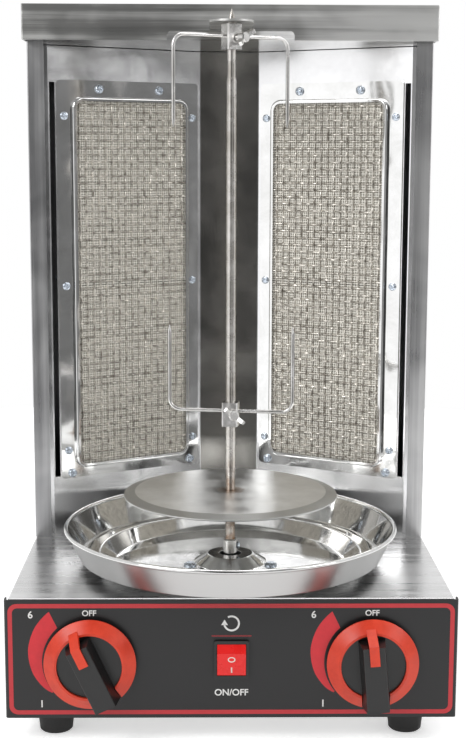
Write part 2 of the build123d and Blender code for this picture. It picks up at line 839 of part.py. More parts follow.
def pan_between(inner, outer):
    """The part of the turned pan between two radii."""
    bowl = revolve(Plane.XZ * pan_section(), Axis.Z, 360)
    band = Circle(outer) - Circle(inner) if inner > 0 else Circle(outer)
    return Pos(0, axis_y, 0) * (bowl & extrude(band, deck_z + 2 * pan_rim_height))


def make_pan_dome():
    return pan_between(0, pan_dome_radius)


def make_pan_floor():
    floor = pan_between(pan_dome_radius, pan_floor_radius)
    for x in (-pan_screw_x, pan_screw_x):
        floor -= wall_hole((x, pan_screw_y, deck_z), (0, 0, 1), pan_bolt_radius + hole_clearance)
    return floor


def make_pan_ring():
    return pan_between(pan_floor_radius, pan_edge_radius - pan_seam_inset)


def make_pan_wall():
    roll = revolve(Plane.XZ * (Pos(roll_r, roll_z) * Circle(pan_roll_radius)), Axis.Z, 360)
    cone = pan_between(pan_edge_radius - pan_seam_inset, 2 * pan_rim_radius)
    return cone + Pos(0, axis_y, 0) * roll


# Two bolts through pan, deck and motor bracket, with their nuts
def make_pan_bolts():
    head_z = deck_z + pan_sheet
    nut_z = deck_z - sheet - bracket_sheet - nut_height
    length = head_z - nut_z + bolt_past_nut
    bolt = pan_head_screw(length, pan_bolt_radius, pan_bolt_head_radius, pan_bolt_head_height)
    pieces = []
    for x in (-pan_screw_x, pan_screw_x):
        pieces.append(Pos(x, pan_screw_y, head_z) * bolt)
        nut = hex_nut(nut_radius, pan_bolt_radius + running_clearance, nut_height)
        pieces.append(Pos(x, pan_screw_y, nut_z) * nut)
    return solids_of(pieces)


# Motor bracket: a folded strip hung under the deck by the pan bolts
def make_motor_bracket():
    top = deck_z - sheet
    half = bracket_half_width
    line = [
        (-half + bracket_flange, top), (-half, top), (-half, motor_top),
        (half, motor_top), (half, top), (half - bracket_flange, top),
    ]
    section = sheet_section(line, bracket_sheet, bracket_sheet * 2, Side.LEFT)
    strip = extrude(Plane.XZ * section, bracket_length / 2, both=True)
    bracket = Pos(0, axis_y, 0) * strip
    bracket -= wall_hole((0, axis_y, motor_top), (0, 0, 1), hub_radius + bracket_hole_gap)
    for x in (-motor_screw_x, motor_screw_x):
        bracket -= wall_hole((x, axis_y, motor_top), (0, 0, 1), small_screw_radius + hole_clearance)
    for x in (-pan_screw_x, pan_screw_x):
        bracket -= wall_hole((x, pan_screw_y, top), (0, 0, 1), pan_bolt_radius + hole_clearance)
    return bracket


# Gear motor: round can under a flat gearbox
def make_gear_motor():
    low = motor_top - gearbox_height
    gearbox = extrude(Circle(gearbox_radius), gearbox_height)
    gearbox = fillet(gearbox.edges(), gearbox_round)
    can = Pos(0, 0, -motor_height) * extrude(Circle(motor_radius), motor_height)
    can = fillet(can.edges().sort_by(Axis.Z)[0], motor_round)
    motor = Pos(0, axis_y, low) * (gearbox + can)
    motor -= wall_hole((0, axis_y, motor_top), (0, 0, 1), shaft_radius + running_clearance, gearbox_height)
    depth = screw_grip - bracket_sheet + seat_gap
    for x in (-motor_screw_x, motor_screw_x):
        motor -= wall_hole((x, axis_y, motor_top), (0, 0, 1), small_screw_radius + hole_clearance, depth)
    return motor


# Motor shaft and the hub on it, whose upper socket takes the skewer
def make_motor_shaft():
    return rod((0, axis_y, motor_top - gearbox_height + seat_gap), (0, axis_y, shaft_top), shaft_radius)


def make_drive_hub():
    shaft_bore = shaft_radius + running_clearance
    socket_bore = skewer_radius + running_clearance
    hub = turned([
        (0, shaft_top + seat_gap), (shaft_bore, shaft_top + seat_gap), (shaft_bore, hub_bottom),
        (hub_radius, hub_bottom), (hub_radius, hub_top - hub_chamfer), (hub_radius - hub_chamfer, hub_top),
        (socket_bore, hub_top), (socket_bore, socket_floor), (0, socket_floor),
    ])
    start = (0, axis_y, hub_screw_z)
    end = (2 * hub_radius, axis_y, hub_screw_z)
    return Pos(0, axis_y, 0) * hub - rod(start, end, small_screw_radius + running_clearance)


def make_hub_screw():
    reach = hub_radius - skewer_radius - 2 * running_clearance
    screw = pan_head_screw(reach, small_screw_radius, small_head_radius * 0.9, small_head_height)
    return placed(screw, (hub_radius, axis_y, hub_screw_z), (1, 0, 0))


# Skewer: round bar, thinner at the top, with a turned point
skewer_bottom = socket_floor + seat_gap
skewer_tip = guide_z + guide_thickness + skewer_tip_above_guide
disc_top = deck_z + disc_height
pin_z = disc_top - disc_pin_drop


def make_skewer():
    cone = skewer_tip - skewer_cone_length
    step = guide_z - skewer_step_below_guide
    bar = turned([
        (0, skewer_bottom), (skewer_radius - skewer_chamfer, skewer_bottom),
        (skewer_radius, skewer_bottom + skewer_chamfer), (skewer_radius, step),
        (skewer_top_radius, step + skewer_step_length), (skewer_top_radius, cone), (0, skewer_tip),
    ])
    bar = Pos(0, axis_y, 0) * bar
    reach = skewer_radius * 2
    hole = rod((-reach, axis_y, pin_z), (reach, axis_y, pin_z), disc_pin_radius + running_clearance)
    return bar - hole


# Meat disc: flat plate with a bevelled edge on a sleeve that the cross pin holds
def make_meat_disc():
    bore = skewer_radius + running_clearance
    under = disc_top - disc_sheet
    disc = turned([
        (bore, disc_top), (disc_flat_radius, disc_top), (disc_radius, disc_top - disc_bevel_drop),
        (disc_radius, disc_top - disc_bevel_drop - disc_edge),
        (disc_radius - disc_edge, disc_top - disc_bevel_drop - disc_sheet), (disc_flat_radius, under),
        (disc_sleeve_radius, under), (disc_sleeve_radius, disc_top - disc_sleeve_length),
        (bore, disc_top - disc_sleeve_length),
    ])
    disc = Pos(0, axis_y, 0) * disc
    reach = disc_sleeve_radius * 2
    return disc - rod((-reach, axis_y, pin_z), (reach, axis_y, pin_z), disc_pin_radius + running_clearance)


def make_disc_pin():
    reach = disc_sleeve_radius + disc_pin_overhang
    return rod((-reach, axis_y, pin_z), (reach, axis_y, pin_z), disc_pin_radius)


# Meat forks. Each is a bent wire in two halves that are set in the sides of a clamp block.
# The fork's own frame has the skewer on Z, the wire's bar along X and the screw towards -Y.
def fork_half(prong_length):
    """The right half, with its prong pointing up."""
    start = clamp_width / 2 - wire_socket_depth
    corner = fork_half_width - fork_bend
    middle = (corner + fork_bend * sin(radians(45)), 0, fork_bend * (1 - cos(radians(45))))
    path = Wire([
        Edge.make_line((start, 0, 0), (corner, 0, 0)),
        Edge.make_three_point_arc((corner, 0, 0), middle, (fork_half_width, 0, fork_bend)),
        Edge.make_line((fork_half_width, 0, fork_bend), (fork_half_width, 0, prong_length - fork_point)),
    ])
    section = Plane(origin=(start, 0, 0), z_dir=(1, 0, 0)) * Circle(fork_wire_radius)
    wire = sweep(section, path)
    point = turned([
        (0, prong_length - fork_point), (fork_wire_radius, prong_length - fork_point),
        (fork_tip_radius, prong_length), (0, prong_length),
    ])
    return wire + Pos(fork_half_width, 0, 0) * point


def make_fork(prong_length, pointing_down):
    right = fork_half(prong_length)
    if pointing_down:
        right = mirror(right, about=Plane.XY)
    return [right, mirror(right, about=Plane.YZ)]


def screw_axis():
    """Direction in which the wing screw leaves the block, in the fork's frame."""
    return Vector(sin(radians(wing_screw_swing)), -cos(radians(wing_screw_swing)), 0)


def make_clamp_block(rise):
    """Clamp block whose middle lies a little above or below the wire."""
    block = Pos(0, 0, rise) * Box(clamp_width, clamp_width, clamp_height)
    block = chamfer(block.edges().filter_by(Axis.Z), clamp_chamfer)
    block -= wall_hole((0, 0, rise), (0, 0, 1), skewer_radius + clamp_bore_clearance, clamp_height)
    for side in (-1, 1):
        start = side * (clamp_width / 2 - wire_socket_depth)
        block -= rod((start, 0, 0), (side * clamp_width, 0, 0), fork_wire_radius + running_clearance)
    out = screw_axis() * clamp_width
    screw_z = -wing_screw_drop
    hole = rod((0, 0, screw_z), (out.X, out.Y, screw_z), wing_screw_radius + running_clearance)
    return block - hole


def make_wing_screw(grip_radius, tilt):
    """Wing screw that bears on a bar of the given radius."""
    start = grip_radius + running_clearance
    thread = Pos(0, 0, start) * extrude(Circle(wing_screw_radius), wing_hub_start - start + wing_hub_chamfer)
    hub = Pos(0, 0, wing_hub_start) * extrude(Circle(wing_hub_radius), wing_hub_length)
    hub = chamfer(hub.edges(), wing_hub_chamfer)
    root = wing_hub_radius / 2
    low = wing_hub_start + wing_root_rise
    high = wing_hub_start + wing_hub_length
    lobe = make_face(Polyline(
        (root, low), (wing_span * 0.75, low + wing_sweep), (wing_span, high + wing_flare / 6),
        (wing_span * 0.8, high + wing_flare), (root, high - wing_root_rise), close=True))
    lobe = fillet(lobe.vertices().sort_by(Axis.X)[-3:], wing_round)
    lobe = extrude(Plane.XZ * lobe, wing_thickness / 2, both=True)
    wings = lobe + mirror(lobe, about=Plane.YZ)
    screw = Rot(0, 0, tilt) * (thread + hub + wings)
    frame = Plane(origin=(0, 0, -wing_screw_drop), x_dir=(0, 0, 1), z_dir=screw_axis())
    return frame * Rot(0, 0, 90) * screw


lower_fork_place = Pos(0, axis_y, lower_fork_z) * Rot(0, 0, lower_fork_turn)
upper_fork_place = Pos(0, axis_y, upper_fork_z) * Rot(0, 0, upper_fork_turn)
upper_clamp_rise = upper_fork_below_guide - upper_clamp_gap - clamp_height / 2

# Knob pieces in the knob's own frame: Z points out of the panel, Y up along the pointer
bar_low = knob_gap + knob_ring_height * 0.3
bar_top = knob_gap + knob_face_height


def knob_bar_section(grow):
    """Tapered cross-section of the grip bar, as a prism from its pointer end to its tail."""
    foot = knob_bar_foot_width / 2 + grow
    face = knob_bar_width / 2 + grow
    low = bar_low - grow
    return make_face(Polyline((-foot, low), (foot, low), (face, bar_top), (-face, bar_top), close=True))


def knob_bar(grow):
    prism = extrude(Plane.XZ * knob_bar_section(grow), knob_ring_radius, both=True)
    top = bar_top + cut_past
    low = bar_low - cut_past
    side_view = make_face(Polyline(
        (knob_bar_front + knob_bar_slope + grow, low), (knob_bar_front + grow, top),
        (-knob_bar_tail + knob_bar_slope - grow, top), (-knob_bar_tail - grow, low), close=True))
    side_prism = extrude(Plane.YZ * side_view, knob_bar_foot_width, both=True)
    return prism & side_prism


# Knob grip: a round floor inside the ring, a raised bar across it and a boss with a D bore
def make_knob_grip():
    floor_radius = knob_ring_inner_radius - hole_clearance
    floor_bottom = knob_gap + knob_ring_edge
    floor_top = knob_gap + knob_floor_height
    floor = Pos(0, 0, floor_bottom) * extrude(Circle(floor_radius), floor_top - floor_bottom)
    grip = floor + knob_bar(0.0)
    long_edges = grip.edges().filter_by(Axis.Y)
    top_edges = [edge for edge in long_edges if edge.center().Z > bar_top - knob_bar_round]
    grip = fillet(top_edges, knob_bar_round)
    bore = Circle(spindle_radius + running_clearance)
    flat = spindle_flat + running_clearance
    bore -= Pos(0, flat + spindle_radius) * Rectangle(4 * spindle_radius, 2 * spindle_radius)
    return grip - extrude(bore, spindle_reach + knob_bore_past_spindle)


# Knob ring: a conical skirt, open where the bar's tail runs out, with the bent pointer
def make_knob_ring():
    low = knob_gap
    top = knob_gap + knob_ring_height
    inner = knob_ring_inner_radius
    outer = knob_ring_radius
    wall = knob_ring_wall
    ring = turned([
        (inner, low), (inner, top), (inner + wall, top), (outer, low + knob_ring_edge), (outer, low),
        (outer - wall, low), (inner + wall, top - wall * 1.3), (inner + wall, low),
    ])
    tail_half = knob_bar_foot_width / 2 + hole_clearance
    ring -= slab(-tail_half, tail_half, -outer - cut_past, -inner + 2 * wall, 0, bar_top)
    under = bar_top + hole_clearance
    over = under + knob_pointer_sheet
    back = knob_bar_front - knob_pointer_length
    foot = inner + wall / 2
    pointer_line = make_face(Polyline(
        (back, under), (knob_bar_front + knob_pointer_lead, under), (foot, top - wall / 2),
        (foot + knob_pointer_foot, top - wall), (knob_bar_front + knob_pointer_sheet, over),
        (back, over), close=True))
    pointer = extrude(Plane.YZ * pointer_line, knob_pointer_width / 2, both=True)
    return ring + pointer


# Valve spindle with its plug
def make_valve_spindle():
    back = -(panel_sheet + seat_gap + valve_collar_length)
    plug = Pos(0, 0, back - plug_length) * extrude(Circle(plug_radius), plug_length - seat_gap)
    stem = Circle(spindle_radius)
    round_stem = Pos(0, 0, back - seat_gap) * extrude(stem, -back + seat_gap)
    d_stem = stem - Pos(0, spindle_flat + spindle_radius) * Rectangle(4 * spindle_radius, 2 * spindle_radius)
    return plug + round_stem + extrude(d_stem, spindle_reach)


# Valve body: collar behind the panel, barrel with a bore for the plug, and a gas port below
def make_gas_valve():
    front = -(panel_sheet + seat_gap)
    shoulder = front - valve_collar_length
    back = front - valve_length
    collar = Pos(0, 0, shoulder) * extrude(Circle(valve_collar_radius), valve_collar_length)
    barrel = Pos(0, 0, back) * extrude(Circle(valve_radius), shoulder - back)
    port = rod((0, 0, -manifold_setback), (0, -manifold_drop, -manifold_setback), port_radius)
    body = collar + barrel + port
    stem_bore = Circle(spindle_radius + running_clearance)
    body -= Pos(0, 0, shoulder - cut_past) * extrude(stem_bore, valve_collar_length + 2 * cut_past)
    cavity = plug_length + seat_gap
    body -= Pos(0, 0, shoulder - cavity) * extrude(Circle(plug_radius + running_clearance), cavity)
    return body - wall_hole((0, -manifold_drop, -manifold_setback), (1, 0, 0), manifold_radius, saddle_width)


def knob_place(x, turn):
    """From the knob's frame to the drawing frame."""
    return Pos(x, 0, knob_height) * Rot(90, 0, 0) * Rot(0, 0, turn)


# Gas manifold behind the panel, its branch to the inlet and its two saddles on the floor
def make_gas_manifold():
    reach = knob_x + manifold_overhang
    y = manifold_setback
    manifold = rod((-reach, y, manifold_z), (reach, y, manifold_z), manifold_radius)
    branch_end = rear_y - inlet_body_length
    manifold += rod((branch_x, y, manifold_z), (branch_x, branch_end, manifold_z), branch_radius)
    for x in (-branch_x, branch_x):
        manifold += slab(
            x - saddle_width / 2, x + saddle_width / 2, y - manifold_radius, y + manifold_radius,
            foot_height + sheet, manifold_z)
    return manifold


# Feed pipes from the valves to the jets
def make_feed_pipes():
    start_y = panel_sheet + seat_gap + valve_length
    end_y = venturi_y - jet_block / 2
    between = slab(-half_width, half_width, start_y, end_y, foot_height, deck_z)
    pipes = []
    for side in (-1, 1):
        start = (side * knob_x, start_y, knob_height)
        end = (side * abs(venturi_x), end_y, knob_height)
        pipes.append(rod(start, end, pipe_radius) & between)
    return solids_of(pipes)


# Jets under the venturis, each on a block that stands on the tray
def make_gas_jets():
    pieces = []
    half = jet_block / 2
    thin = jet_post / 2
    low = knob_height - half
    top = venturi_mouth_z - jet_gap - jet_length
    for x in (venturi_x, -venturi_x):
        block = slab(x - half, x + half, venturi_y - half, venturi_y + half, low, top)
        post = slab(x - thin, x + thin, venturi_y - thin, venturi_y + thin, foot_height + sheet, low)
        jet = Pos(x, venturi_y, top) * turned([
            (0, 0), (jet_radius, 0), (jet_radius, jet_length * 0.6),
            (jet_radius / 2, jet_length), (0, jet_length),
        ])
        pieces.append(block + post + jet)
    return solids_of(pieces)


# Gas inlet: bulkhead body with a plain hose tail, and the nut that locks it outside
def make_gas_inlet():
    def along(y0, y1, radius):
        return rod((branch_x, y0, manifold_z), (branch_x, y1, manifold_z), radius)

    body = along(rear_y - inlet_body_length, base_depth + inlet_nut_thickness, inlet_body_radius)
    body += along(rear_y - inlet_flange_thickness, rear_y, inlet_flange_radius)
    tail = along(base_depth, inlet_end_y, inlet_tail_radius)
    tail = chamfer(tail.edges().sort_by(Axis.Y)[-1], inlet_tail_chamfer)
    return body + tail


def make_inlet_nut():
    nut = hex_nut(inlet_nut_size / 2, inlet_body_radius + running_clearance, inlet_nut_thickness)
    return Plane(origin=(branch_x, base_depth + inlet_nut_thickness, manifold_z), z_dir=(0, -1, 0)) * nut


# Cable gland: a plain bush in the rear wall; the mains cord itself is not part of the object
def make_cable_gland():
    def along(y0, y1, radius):
        return rod((gland_x, y0, gland_height), (gland_x, y1, gland_height), radius)

    inner_end = rear_y - gland_flange
    outer_end = base_depth + gland_nose
    gland = along(inner_end, rear_y, gland_radius)
    gland += along(rear_y, base_depth, gland_neck_radius)
    gland += along(base_depth, outer_end, gland_radius)
    gland = chamfer(gland.edges().sort_by(Axis.Y)[-1], gland_chamfer)
    return gland - along(inner_end - cut_past, outer_end + cut_past, gland_bore)


# Switch body: a bezel on the panel, a sleeve through the cut-out and a closed back
def make_switch_body():
    def centred(width, height, y0, y1):
        return slab(-width / 2, width / 2, y0, y1, switch_height - height / 2, switch_height + height / 2)

    bezel = centred(switch_bezel_width, switch_bezel_height, -switch_bezel_depth, 0)
    bezel = fillet(bezel.edges().filter_by(Axis.Y), switch_bezel_round)
    body = bezel + centred(switch_body_width, switch_body_height, 0, switch_body_depth)
    well_width = paddle_width + 2 * seat_gap
    well_height = paddle_height + 2 * paddle_well_clearance
    body -= centred(well_width, well_height, -switch_bezel_depth - cut_past, paddle_well_depth)
    pivot = (0, paddle_pivot_y, switch_height)
    return body - wall_hole(pivot, (1, 0, 0), paddle_pin_radius + running_clearance, switch_body_width)


# Rocker paddle with two facets, pivoted behind the panel and resting with its top pressed in
def make_rocker_paddle():
    half = paddle_height / 2
    rim_y = -switch_bezel_depth - paddle_rim
    ridge_y = -switch_bezel_depth - paddle_proud
    heel_y = paddle_pivot_y + paddle_heel
    outline = make_face(Polyline(
        (rim_y, -half), (ridge_y, paddle_ridge_above), (rim_y, half),
        (heel_y - paddle_side, half - paddle_draft), (heel_y, half / 2), (heel_y, -half / 2),
        (heel_y - paddle_side, -half + paddle_draft), close=True))
    paddle = Pos(0, -paddle_pivot_y, 0) * extrude(Plane.YZ * outline, paddle_width / 2, both=True)
    pin_end = paddle_width / 2 + paddle_pin_reach
    paddle += rod((-pin_end, 0, 0), (pin_end, 0, 0), paddle_pin_radius)
    return Pos(0, paddle_pivot_y, switch_height) * Rot(-paddle_tilt, 0, 0) * paddle


def write_parts():
    """Builds every node and writes it with the origin under the middle of the object."""
    to_origin = Pos(0, -(pan_front_y + inlet_end_y) / 2, 0)
    nodes = {
        "base_shell": make_base_shell(),
        "base_floor": make_base_floor(),
        "rubber_feet": make_rubber_feet(),
        "foot_bolts": make_foot_bolts(),
        "control_panel": make_control_panel(),
        "base_rear": make_base_rear(),
        "inner_liner": make_inner_liner(),
        "liner_skirt": make_liner_skirt(),
        "roof_plate": make_roof_plate(),
        "skewer_guide": make_skewer_guide(),
        "hood": make_hood(),
        "rear_cover": make_rear_cover(),
        "burner_screws": make_burner_screws(),
        "case_screws": solids_of([make_case_screws(), make_pan_bolts()]),
        "drip_pan_dome": make_pan_dome(),
        "drip_pan": make_pan_floor(),
        "drip_pan_ring": make_pan_ring(),
        "drip_pan_wall": make_pan_wall(),
        "motor_bracket": make_motor_bracket(),
        "gear_motor": make_gear_motor(),
        "motor_shaft": make_motor_shaft(),
        "drive_hub": make_drive_hub(),
        "hub_screw": make_hub_screw(),
        "skewer": make_skewer(),
        "meat_disc": make_meat_disc(),
        "disc_pin": make_disc_pin(),
        "lower_fork": lower_fork_place * solids_of(make_fork(lower_prong_length, False)),
        "lower_clamp": lower_fork_place * make_clamp_block(lower_clamp_rise),
        "lower_wing_screw": lower_fork_place * make_wing_screw(skewer_radius, lower_wing_tilt),
        "upper_fork": upper_fork_place * solids_of(make_fork(upper_prong_length, True)),
        "upper_clamp": upper_fork_place * make_clamp_block(upper_clamp_rise),
        "upper_wing_screw": upper_fork_place * make_wing_screw(skewer_radius, upper_wing_tilt),
        "gas_manifold": make_gas_manifold(),
        "feed_pipes": make_feed_pipes(),
        "gas_jets": make_gas_jets(),
        "gas_inlet": make_gas_inlet(),
        "inlet_nut": make_inlet_nut(),
        "cable_gland": make_cable_gland(),
        "switch_body": make_switch_body(),
        "rocker_paddle": make_rocker_paddle(),
    }
    handed = {
        "side_panel": make_side_panel(),
        "burner_frame": make_burner_frame(),
        "burner_mesh": make_burner_mesh(),
        "burner_tiles": make_burner_tiles(),
        "burner_box": make_burner_box(),
        "venturi_tube": make_venturi_tube(),
    }
    for name, piece in handed.items():
        nodes[name + "_left"] = piece
        nodes[name + "_right"] = mirrored(piece)
    for side, x, turn in (("left", -knob_x, left_knob_turn), ("right", knob_x, right_knob_turn)):
        nodes["gas_valve_" + side] = knob_place(x, 0) * make_gas_valve()
        nodes["valve_spindle_" + side] = knob_place(x, turn) * make_valve_spindle()
        nodes["knob_grip_" + side] = knob_place(x, turn) * make_knob_grip()
        nodes["knob_ring_" + side] = knob_place(x, turn) * make_knob_ring()
    for name, shape in nodes.items():
        export_step(to_origin * shape, "parts/" + name + ".step")
    print(len(nodes), "nodes written")


write_parts()
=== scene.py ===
import math

import bpy
import numpy as np
from mathutils import Matrix, Vector


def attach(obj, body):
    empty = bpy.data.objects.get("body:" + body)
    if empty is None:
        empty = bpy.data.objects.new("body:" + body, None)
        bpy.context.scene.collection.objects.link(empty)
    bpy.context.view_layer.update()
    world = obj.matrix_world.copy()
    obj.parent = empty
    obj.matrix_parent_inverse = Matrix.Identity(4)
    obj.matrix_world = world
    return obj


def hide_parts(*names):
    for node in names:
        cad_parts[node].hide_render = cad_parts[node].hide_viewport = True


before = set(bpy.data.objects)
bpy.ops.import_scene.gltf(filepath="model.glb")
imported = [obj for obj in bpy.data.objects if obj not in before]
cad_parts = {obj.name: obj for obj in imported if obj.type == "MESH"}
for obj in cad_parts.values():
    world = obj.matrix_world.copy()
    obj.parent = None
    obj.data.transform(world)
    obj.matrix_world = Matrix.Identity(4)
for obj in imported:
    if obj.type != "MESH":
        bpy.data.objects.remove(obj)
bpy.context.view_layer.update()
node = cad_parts


# Camera: level with the hood, a little above the middle, looking down by under nine degrees.
# Its place and lens were found by fitting the object's edges in the picture. Places are in
# millimetres of the drawing frame, whose Y = 0 is the control panel's front face.
panel_to_middle = 132.9
camera_place = (-12.917, -920.12, 401.98)
picture_height, focal_pixels, sensor_height = 738, 1405, 36.0
pitch, yaw, roll = (math.radians(angle) for angle in (8.7727, 0.8277, 0.1835))


def from_drawing(points):
    """Points of the drawing frame to the row frame, in metres: (x, y - panel_to_middle, z) / 1000."""
    return (np.asarray(points, float) - (0, panel_to_middle, 0)) / 1000


camera_data = bpy.data.cameras.new("camera")
camera = bpy.data.objects.new("camera", camera_data)
bpy.context.scene.collection.objects.link(camera)
camera_data.sensor_fit = "VERTICAL"
camera_data.sensor_height = sensor_height
camera_data.lens = focal_pixels * sensor_height / picture_height
camera_data.clip_start = 0.05
forward = Vector((math.sin(yaw) * math.cos(pitch), math.cos(yaw) * math.cos(pitch), -math.sin(pitch)))
level = Vector((math.cos(yaw), -math.sin(yaw), 0))
upward = level.cross(forward)
right = math.cos(roll) * level + math.sin(roll) * upward
upward = -math.sin(roll) * level + math.cos(roll) * upward
camera_turn = Matrix((right, upward, -forward)).transposed().to_4x4()
camera.matrix_world = Matrix.Translation(Vector(from_drawing(camera_place))) @ camera_turn
bpy.context.scene.camera = camera
bpy.context.scene.view_settings.view_transform = "Standard"


# Studio: a pale room whose side behind the camera is dimmer, so that polished steel has
# something dark to show, and three large soft lamps. The dim side's tone changes from left to
# right. Dull surfaces get an even, weaker light from the room, and the camera sees white.
dim_from, dim_to = -0.3, -0.5
dim_tones = ((0.1, 1.15), (0.3, 0.5), (0.44, 0.045), (0.53, 0.07), (0.62, 0.5), (0.9, 0.18))
mirror_light, plain_light, seen_light = 0.8, 0.52, 1.0
lamp_aim = Vector((0, 0, 0.25))
lamps = (
    ("lamp_left", (-1.1, -1.0, 1.25), 0.9, 13.0),
    ("lamp_right", (1.2, -0.7, 1.0), 0.7, 4.5),
    ("lamp_top", (0.1, 0.3, 1.9), 1.0, 7.0),
)


def put(tree, kind, inputs=None, **settings):
    """Adds a shader node with its settings. An input gets a plain value, or a link from a socket."""
    made = tree.nodes.new(kind)
    for name, value in settings.items():
        setattr(made, name, value)
    for name, value in (inputs or {}).items():
        if isinstance(value, bpy.types.NodeSocket):
            tree.links.new(value, made.inputs[name])
        else:
            made.inputs[name].default_value = value
    return made


def span(tree, value, low, high, from_low=0.0, from_high=1.0, kind="LINEAR"):
    """A value moved from one range to another."""
    return put(tree, "ShaderNodeMapRange", {
        "Value": value, "From Min": from_low, "From Max": from_high, "To Min": low, "To Max": high,
    }, interpolation_type=kind).outputs[0]


def reckon(tree, operation, *values, clamp=False):
    """One step of arithmetic on numbers."""
    step = put(tree, "ShaderNodeMath", dict(enumerate(values)), operation=operation, use_clamp=clamp)
    return step.outputs[0]


def mixed(tree, factor, first, second):
    """Two numbers mixed by a factor."""
    mix = put(tree, "ShaderNodeMix", {"Factor": factor, "A": first, "B": second}, data_type="FLOAT")
    return mix.outputs["Result"]


world = bpy.data.worlds.new("studio")
bpy.context.scene.world = world
world.use_nodes = True
room = world.node_tree
room.nodes.clear()
direction = put(room, "ShaderNodeTexCoord").outputs["Generated"]
towards = put(room, "ShaderNodeSeparateXYZ", {"Vector": direction}).outputs
dim_side = span(room, towards["Y"], 0.0, 1.0, dim_from, dim_to, "SMOOTHSTEP")
dim_profile = put(room, "ShaderNodeValToRGB", {0: span(room, towards["X"], 0.0, 1.0, -1.0, 1.0)})
dim_profile.color_ramp.interpolation = "EASE"
while len(dim_profile.color_ramp.elements) < len(dim_tones):
    dim_profile.color_ramp.elements.new(0.5)
for stop, (place, tone) in zip(dim_profile.color_ramp.elements, dim_tones):
    stop.position = place
    stop.color = (tone, tone, tone, 1)
ray = put(room, "ShaderNodeLightPath").outputs
shiny = reckon(room, "MAXIMUM", ray["Is Glossy Ray"], ray["Is Transmission Ray"])
mirror_room = mixed(room, dim_side, mirror_light, dim_profile.outputs["Color"])
for_shiny = mixed(room, shiny, plain_light, mirror_room)
for_camera = mixed(room, ray["Is Camera Ray"], for_shiny, seen_light)
background = put(room, "ShaderNodeBackground", {"Color": (1, 1, 1, 1), "Strength": for_camera})
put(room, "ShaderNodeOutputWorld", {"Surface": background.outputs[0]})

for lamp_name, place, size, power in lamps:
    lamp_data = bpy.data.lights.new(lamp_name, "AREA")
    lamp_data.size = size
    lamp_data.energy = power
    lamp = bpy.data.objects.new(lamp_name, lamp_data)
    bpy.context.scene.collection.objects.link(lamp)
    aim = (lamp_aim - Vector(place)).to_track_quat("-Z", "Y")
    lamp.matrix_world = Matrix.Translation(place) @ aim.to_matrix().to_4x4()


# Table: a round matt white sheet that keeps the soft shadow under the cabinet. It glows a
# little for the camera and for reflections, more towards its rim, so it ends without an edge.
sheet_radius, sheet_sides, sheet_middle_y = 0.95, 96, 0.25
glow_middle, glow_rim = 0.42, 0.8
glow_from, glow_to = 0.3, 0.75


def new_material(name, roughness, metallic=0.0):
    """A material with its Principled shader's plain values set."""
    made = bpy.data.materials.new(name)
    made.use_nodes = True
    shader = made.node_tree.nodes["Principled BSDF"]
    shader.inputs["Roughness"].default_value = roughness
    shader.inputs["Metallic"].default_value = metallic
    return made, made.node_tree, shader


def place_on(tree):
    """The place on the piece, in metres."""
    return put(tree, "ShaderNodeTexCoord").outputs["Object"]


def noise(tree, place, scale, detail, roughness=0.5, distortion=0.0):
    """Cloudy noise between 0 and 1."""
    return put(tree, "ShaderNodeTexNoise", {
        "Vector": place, "Scale": scale, "Detail": detail, "Roughness": roughness, "Distortion": distortion,
    }).outputs["Fac"]


def vector_step(tree, operation, *values):
    """One step of arithmetic on vectors; its outputs are Vector and Value."""
    return put(tree, "ShaderNodeVectorMath", dict(enumerate(values)), operation=operation).outputs


def grey(tone):
    """A neutral colour."""
    return (tone, tone, tone)


def blend_colours(tree, mask, dark, light):
    """Two colours mixed by a mask."""
    return put(tree, "ShaderNodeMix", {
        "Factor": mask, "A": (*dark, 1), "B": (*light, 1)}, data_type="RGBA").outputs["Result"]


sheet_turn = np.arange(sheet_sides) * 2 * math.pi / sheet_sides
sheet_edge = np.column_stack((
    sheet_radius * np.cos(sheet_turn), sheet_radius * np.sin(sheet_turn) + sheet_middle_y, 0 * sheet_turn))
table_mesh = bpy.data.meshes.new("table_top")
table_mesh.from_pydata(sheet_edge.tolist(), [], [list(range(sheet_sides))])
table = bpy.data.objects.new("table_top", table_mesh)
bpy.context.scene.collection.objects.link(table)
white_paper, tree, shader = new_material("white_paper", 0.9)
paper_place = place_on(tree)
paper_cloud = noise(tree, paper_place, 3.0, 2.0)
tree.links.new(blend_colours(tree, paper_cloud, grey(0.93), grey(0.96)), shader.inputs["Base Color"])
reach = vector_step(tree, "LENGTH", paper_place)["Value"]
paper_ray = put(tree, "ShaderNodeLightPath").outputs
seen = reckon(tree, "MAXIMUM", paper_ray["Is Camera Ray"], paper_ray["Is Glossy Ray"])
seen = reckon(tree, "MAXIMUM", seen, paper_ray["Is Transmission Ray"])
paper_glow = reckon(tree, "MULTIPLY", seen, span(tree, reach, glow_middle, glow_rim, glow_from, glow_to))
shader.inputs["Emission Color"].default_value = (1, 1, 1, 1)
tree.links.new(paper_glow, shader.inputs["Emission Strength"])
table_mesh.materials.append(white_paper)


# Base cabinet: a shell folded from brushed stainless sheet makes the deck and both sides, over
# a plain floor tray. The grain runs as the sheet was rolled, and handling leaves faint smudges
# and darker streaks.
grain_depth = 0.00004
smudge_size = 14.0
smudge_share = 0.45
grain_low, grain_high = 0.36, 0.64
# Painted shade and light across the sheet: tone lowered on the left and raised on the right.
painted_shade_left, painted_light_right = -0.06, 0.11
# Painted shade on the base cabinet's sides: faces turned left or right are darkened towards this grey.
side_from, side_to, side_shade_tone = 0.6, 0.9, grey(0.6)


